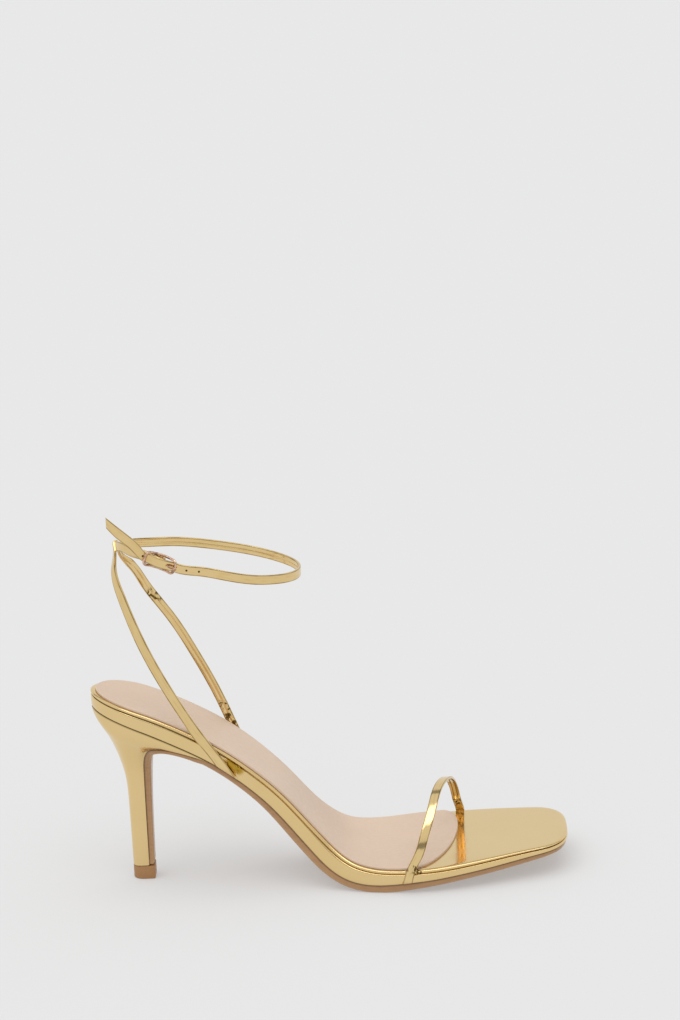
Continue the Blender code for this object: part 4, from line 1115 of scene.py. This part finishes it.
def dress_ankle_strap():
    rows = ankle_strap_rows()
    at, reach = strap_line(rows)
    # Painted dark reflections along the strap's folded edges
    gold = gold_leather("ankle strap", 0.07 * MM, strap=True)
    item = strap_skin("ankle_strap", rows, gold, lambda s: 1.0 if s > reach[FOLDED_END_ROWS] else 0.0)
    middle = reach[len(rows) - len(TAIL_ROUTE) - 4]  # where the strap passes over the buckle's bar
    places = [at(middle - ahead_by)[::2] for ahead_by in HOLES]
    pierce(item, places)
    dark = painted_hole_shade()
    for number, place in enumerate(places):
        # A disc of painted shade half way down a hole keeps the light behind it out
        disc = mesh_object("hole_%d" % number, lambda work: add_disc(work, *place, 0.3 * STRAP), dark)
        dress(disc, "ankle_straps", extra=True)
    dress(item, "ankle_straps")
    start, end = reach[SEWN_ROWS[0]] + 2 * MM, reach[SEWN_ROWS[1]] + 1 * MM
    dress(stitches("sewn_end_of_the_ankle_strap", at, start, end), "ankle_straps", extra=True)


def dress_sling():
    rows = sling_rows()
    at, reach = strap_line(rows)
    fold = reach[len(foot(OUTER_LEG_FOOT, -1, STRAP_WIDTH)) + len(OUTER_LEG) + 4]
    low_inner, high_inner = at(reach[-1] - 28 * MM)[0], at(fold + 40 * MM)[0]
    # Painted shade in the crinkles on the inner leg and painted dark reflections along the edges
    gold = gold_leather("sling", 0.08 * MM, [(low_inner, 11 * MM), (high_inner, 7 * MM)], strap=True)

    def seam(s):
        """The seam changes sides where the strap folds over the ankle strap."""
        return min(max((fold - s) / (6 * MM), -1), 1)

    dress(strap_skin("sling", rows, gold, seam), "ankle_straps")


def dress_toe_strap():
    rows = toe_strap_rows()
    at, reach = strap_line(rows)
    near, far = at(12 * MM)[0], at(reach[-1] - 16 * MM)[0]
    # Painted shade in the crinkles near both feet and painted dark reflections along the edges
    gold = gold_leather("toe strap", 0.08 * MM, [(near, 4 * MM), (far, 5 * MM)], strap=True)
    dress(strap_skin("toe_strap_leather", rows, gold, lambda s: 1.0), "toe_strap")


def wire(name, points, radius, closed, material):
    """A round wire along points, as a mesh."""
    curve = bpy.data.curves.new(name, "CURVE")
    curve.dimensions = "3D"
    curve.bevel_depth = radius
    curve.bevel_resolution = 5
    curve.use_fill_caps = not closed
    run = curve.splines.new("POLY")
    run.points.add(len(points) - 1)
    for spot, point in zip(run.points, points):
        spot.co = (*point, 1)
    run.use_cyclic_u = closed
    made = link(name, curve)
    mesh = final_mesh(made)
    bpy.data.objects.remove(made)
    return add_object(name, mesh, material, 60)


def dress_buckle():
    metal = rose_metal()
    half_u = BUCKLE_LENGTH / 2
    half_v = STRAP_WIDTH / 2 + CLEARANCE + WIRE
    side, end = half_u - BUCKLE_CORNER, half_v - BUCKLE_CORNER
    flat = []
    for quarter, (a, b) in enumerate(CORNERS):
        for turn in math.pi / 2 * (quarter + np.linspace(0, 1, 11)):
            flat.append((a * side + BUCKLE_CORNER * math.cos(turn), b * end + BUCKLE_CORNER * math.sin(turn)))
        if quarter in (0, 2):
            flat += [(a * side * share, b * half_v) for share in np.linspace(0.9, -0.9, 19)]
    frame_points = [buckle_point(u, v, frame_sag(u)) for u, v in flat]
    dress(wire("buckle_wire", frame_points, WIRE, True, metal), "buckle_frame")
    bar = [buckle_point(0, v, BAR_OUT) for v in (-half_v, half_v)]
    dress(wire("buckle_bar", bar, WIRE * 0.98, False, metal), "buckle_frame")

    ring = WIRE + CLEARANCE + PRONG_WIRE
    coarse = [buckle_point(ring * math.cos(a), 0, BAR_OUT + ring * math.sin(a))
              for a in np.radians([-70, -105, -140, -180, -215, -250, -270])]
    rest_out = END_OUT + WIRE + CLEARANCE + PRONG_WIRE
    hole = 0.22 * BUCKLE_LENGTH  # where the prong comes out of the strap
    over_strap = bow(hole) + STRAP / 2 + PRONG_WIRE
    coarse += [buckle_point(u, 0, out) for u, out in (
        (0.5 * hole, BAR_OUT + ring + 0.1 * MM), (0.85 * hole, 0.35 * BOW),
        (1.2 * hole, over_strap + 0.6 * CLEARANCE), (1.6 * hole, (over_strap + 2 * CLEARANCE + rest_out) / 2),
        (half_u, rest_out), (half_u + PRONG_OVERHANG, rest_out - 0.1 * MM))]
    line, reach = curve_through(coarse)
    smooth = [line(s) for s in np.linspace(0, reach[-1], 60)]
    dress(wire("buckle_prong_wire", smooth, PRONG_WIRE, False, metal), "buckle_prong")


def glowing_sheet(name, colour, half_side, strength):
    """A flat dull square that also shines by itself."""
    look = Nodes(name, colour, 1.0)
    light = {"Specular IOR Level": 0.0, "Emission Color": (1, 1, 1, 1), "Emission Strength": strength}

    def make(work):
        bmesh.ops.create_grid(work, x_segments=1, y_segments=1, size=half_side)

    return mesh_object(name, make, look.finish(others=light))


def make_floor():
    """A wide plain floor that only the shoe's shadow falls on."""
    floor = glowing_sheet("floor", FLOOR_GREY, FLOOR_HALF, FLOOR_GLOW)
    floor.location.z = -0.05 * MM  # just clear of the shoe


def make_card(name, centre, size, strength):
    """A card that faces the shoe and only shows in the gold, bright or dark."""
    card = glowing_sheet(name, CARD_GREY, 0.5, strength)
    card.scale = (*size, 1)
    card.location = centre
    card.rotation_euler = (Vector(SHOE_MIDDLE) - Vector(centre)).to_track_quat("-Z", "Y").to_euler()
    card.visible_camera = card.visible_shadow = card.visible_diffuse = False


def make_lights():
    world = bpy.data.worlds.new("studio")
    bpy.context.scene.world = world
    world.use_nodes = True
    background = world.node_tree.nodes["Background"]
    background.inputs["Color"].default_value = (*ROOM_GREY, 1)
    background.inputs["Strength"].default_value = 1.0
    lamp = bpy.data.lights.new("overhead", "SUN")
    lamp.energy = SUN_ENERGY
    lamp.angle = math.radians(SUN_SPREAD)
    sun = link("overhead", lamp)
    sun.rotation_euler = [math.radians(angle) for angle in SUN_TURN]
    sun.visible_glossy = False
    for card in CARDS:
        make_card(*card)


def make_camera():
    """The photograph's camera, aimed at the target and then panned, tilted and rolled into the frame."""
    def turn(degrees, axis):
        return Matrix.Rotation(math.radians(degrees), 4, axis)

    aim = turn(CAMERA_AZIMUTH, "Z") @ turn(90 - CAMERA_ELEVATION, "X")
    place = Matrix.Translation(CAMERA_TARGET) @ aim @ Matrix.Translation((0, 0, CAMERA_DISTANCE))
    lens = bpy.data.cameras.new("camera")
    lens.sensor_width = 36
    lens.lens = FOCAL_PIXELS * lens.sensor_width / FRAME_PIXELS
    lens.clip_start = 0.01
    camera = link("camera", lens)
    camera.matrix_world = place @ turn(-CAMERA_PAN, "Y") @ turn(CAMERA_TILT, "X") @ turn(CAMERA_ROLL, "Z")
    bpy.context.scene.camera = camera


for build in (make_camera, make_floor, make_lights, dress_insole, dress_midsole, dress_lining, dress_heel,
              dress_top_piece, dress_outsole, dress_ankle_strap, dress_sling, dress_toe_strap, dress_buckle):
    build()
bpy.context.scene.view_settings.view_transform = "Standard"
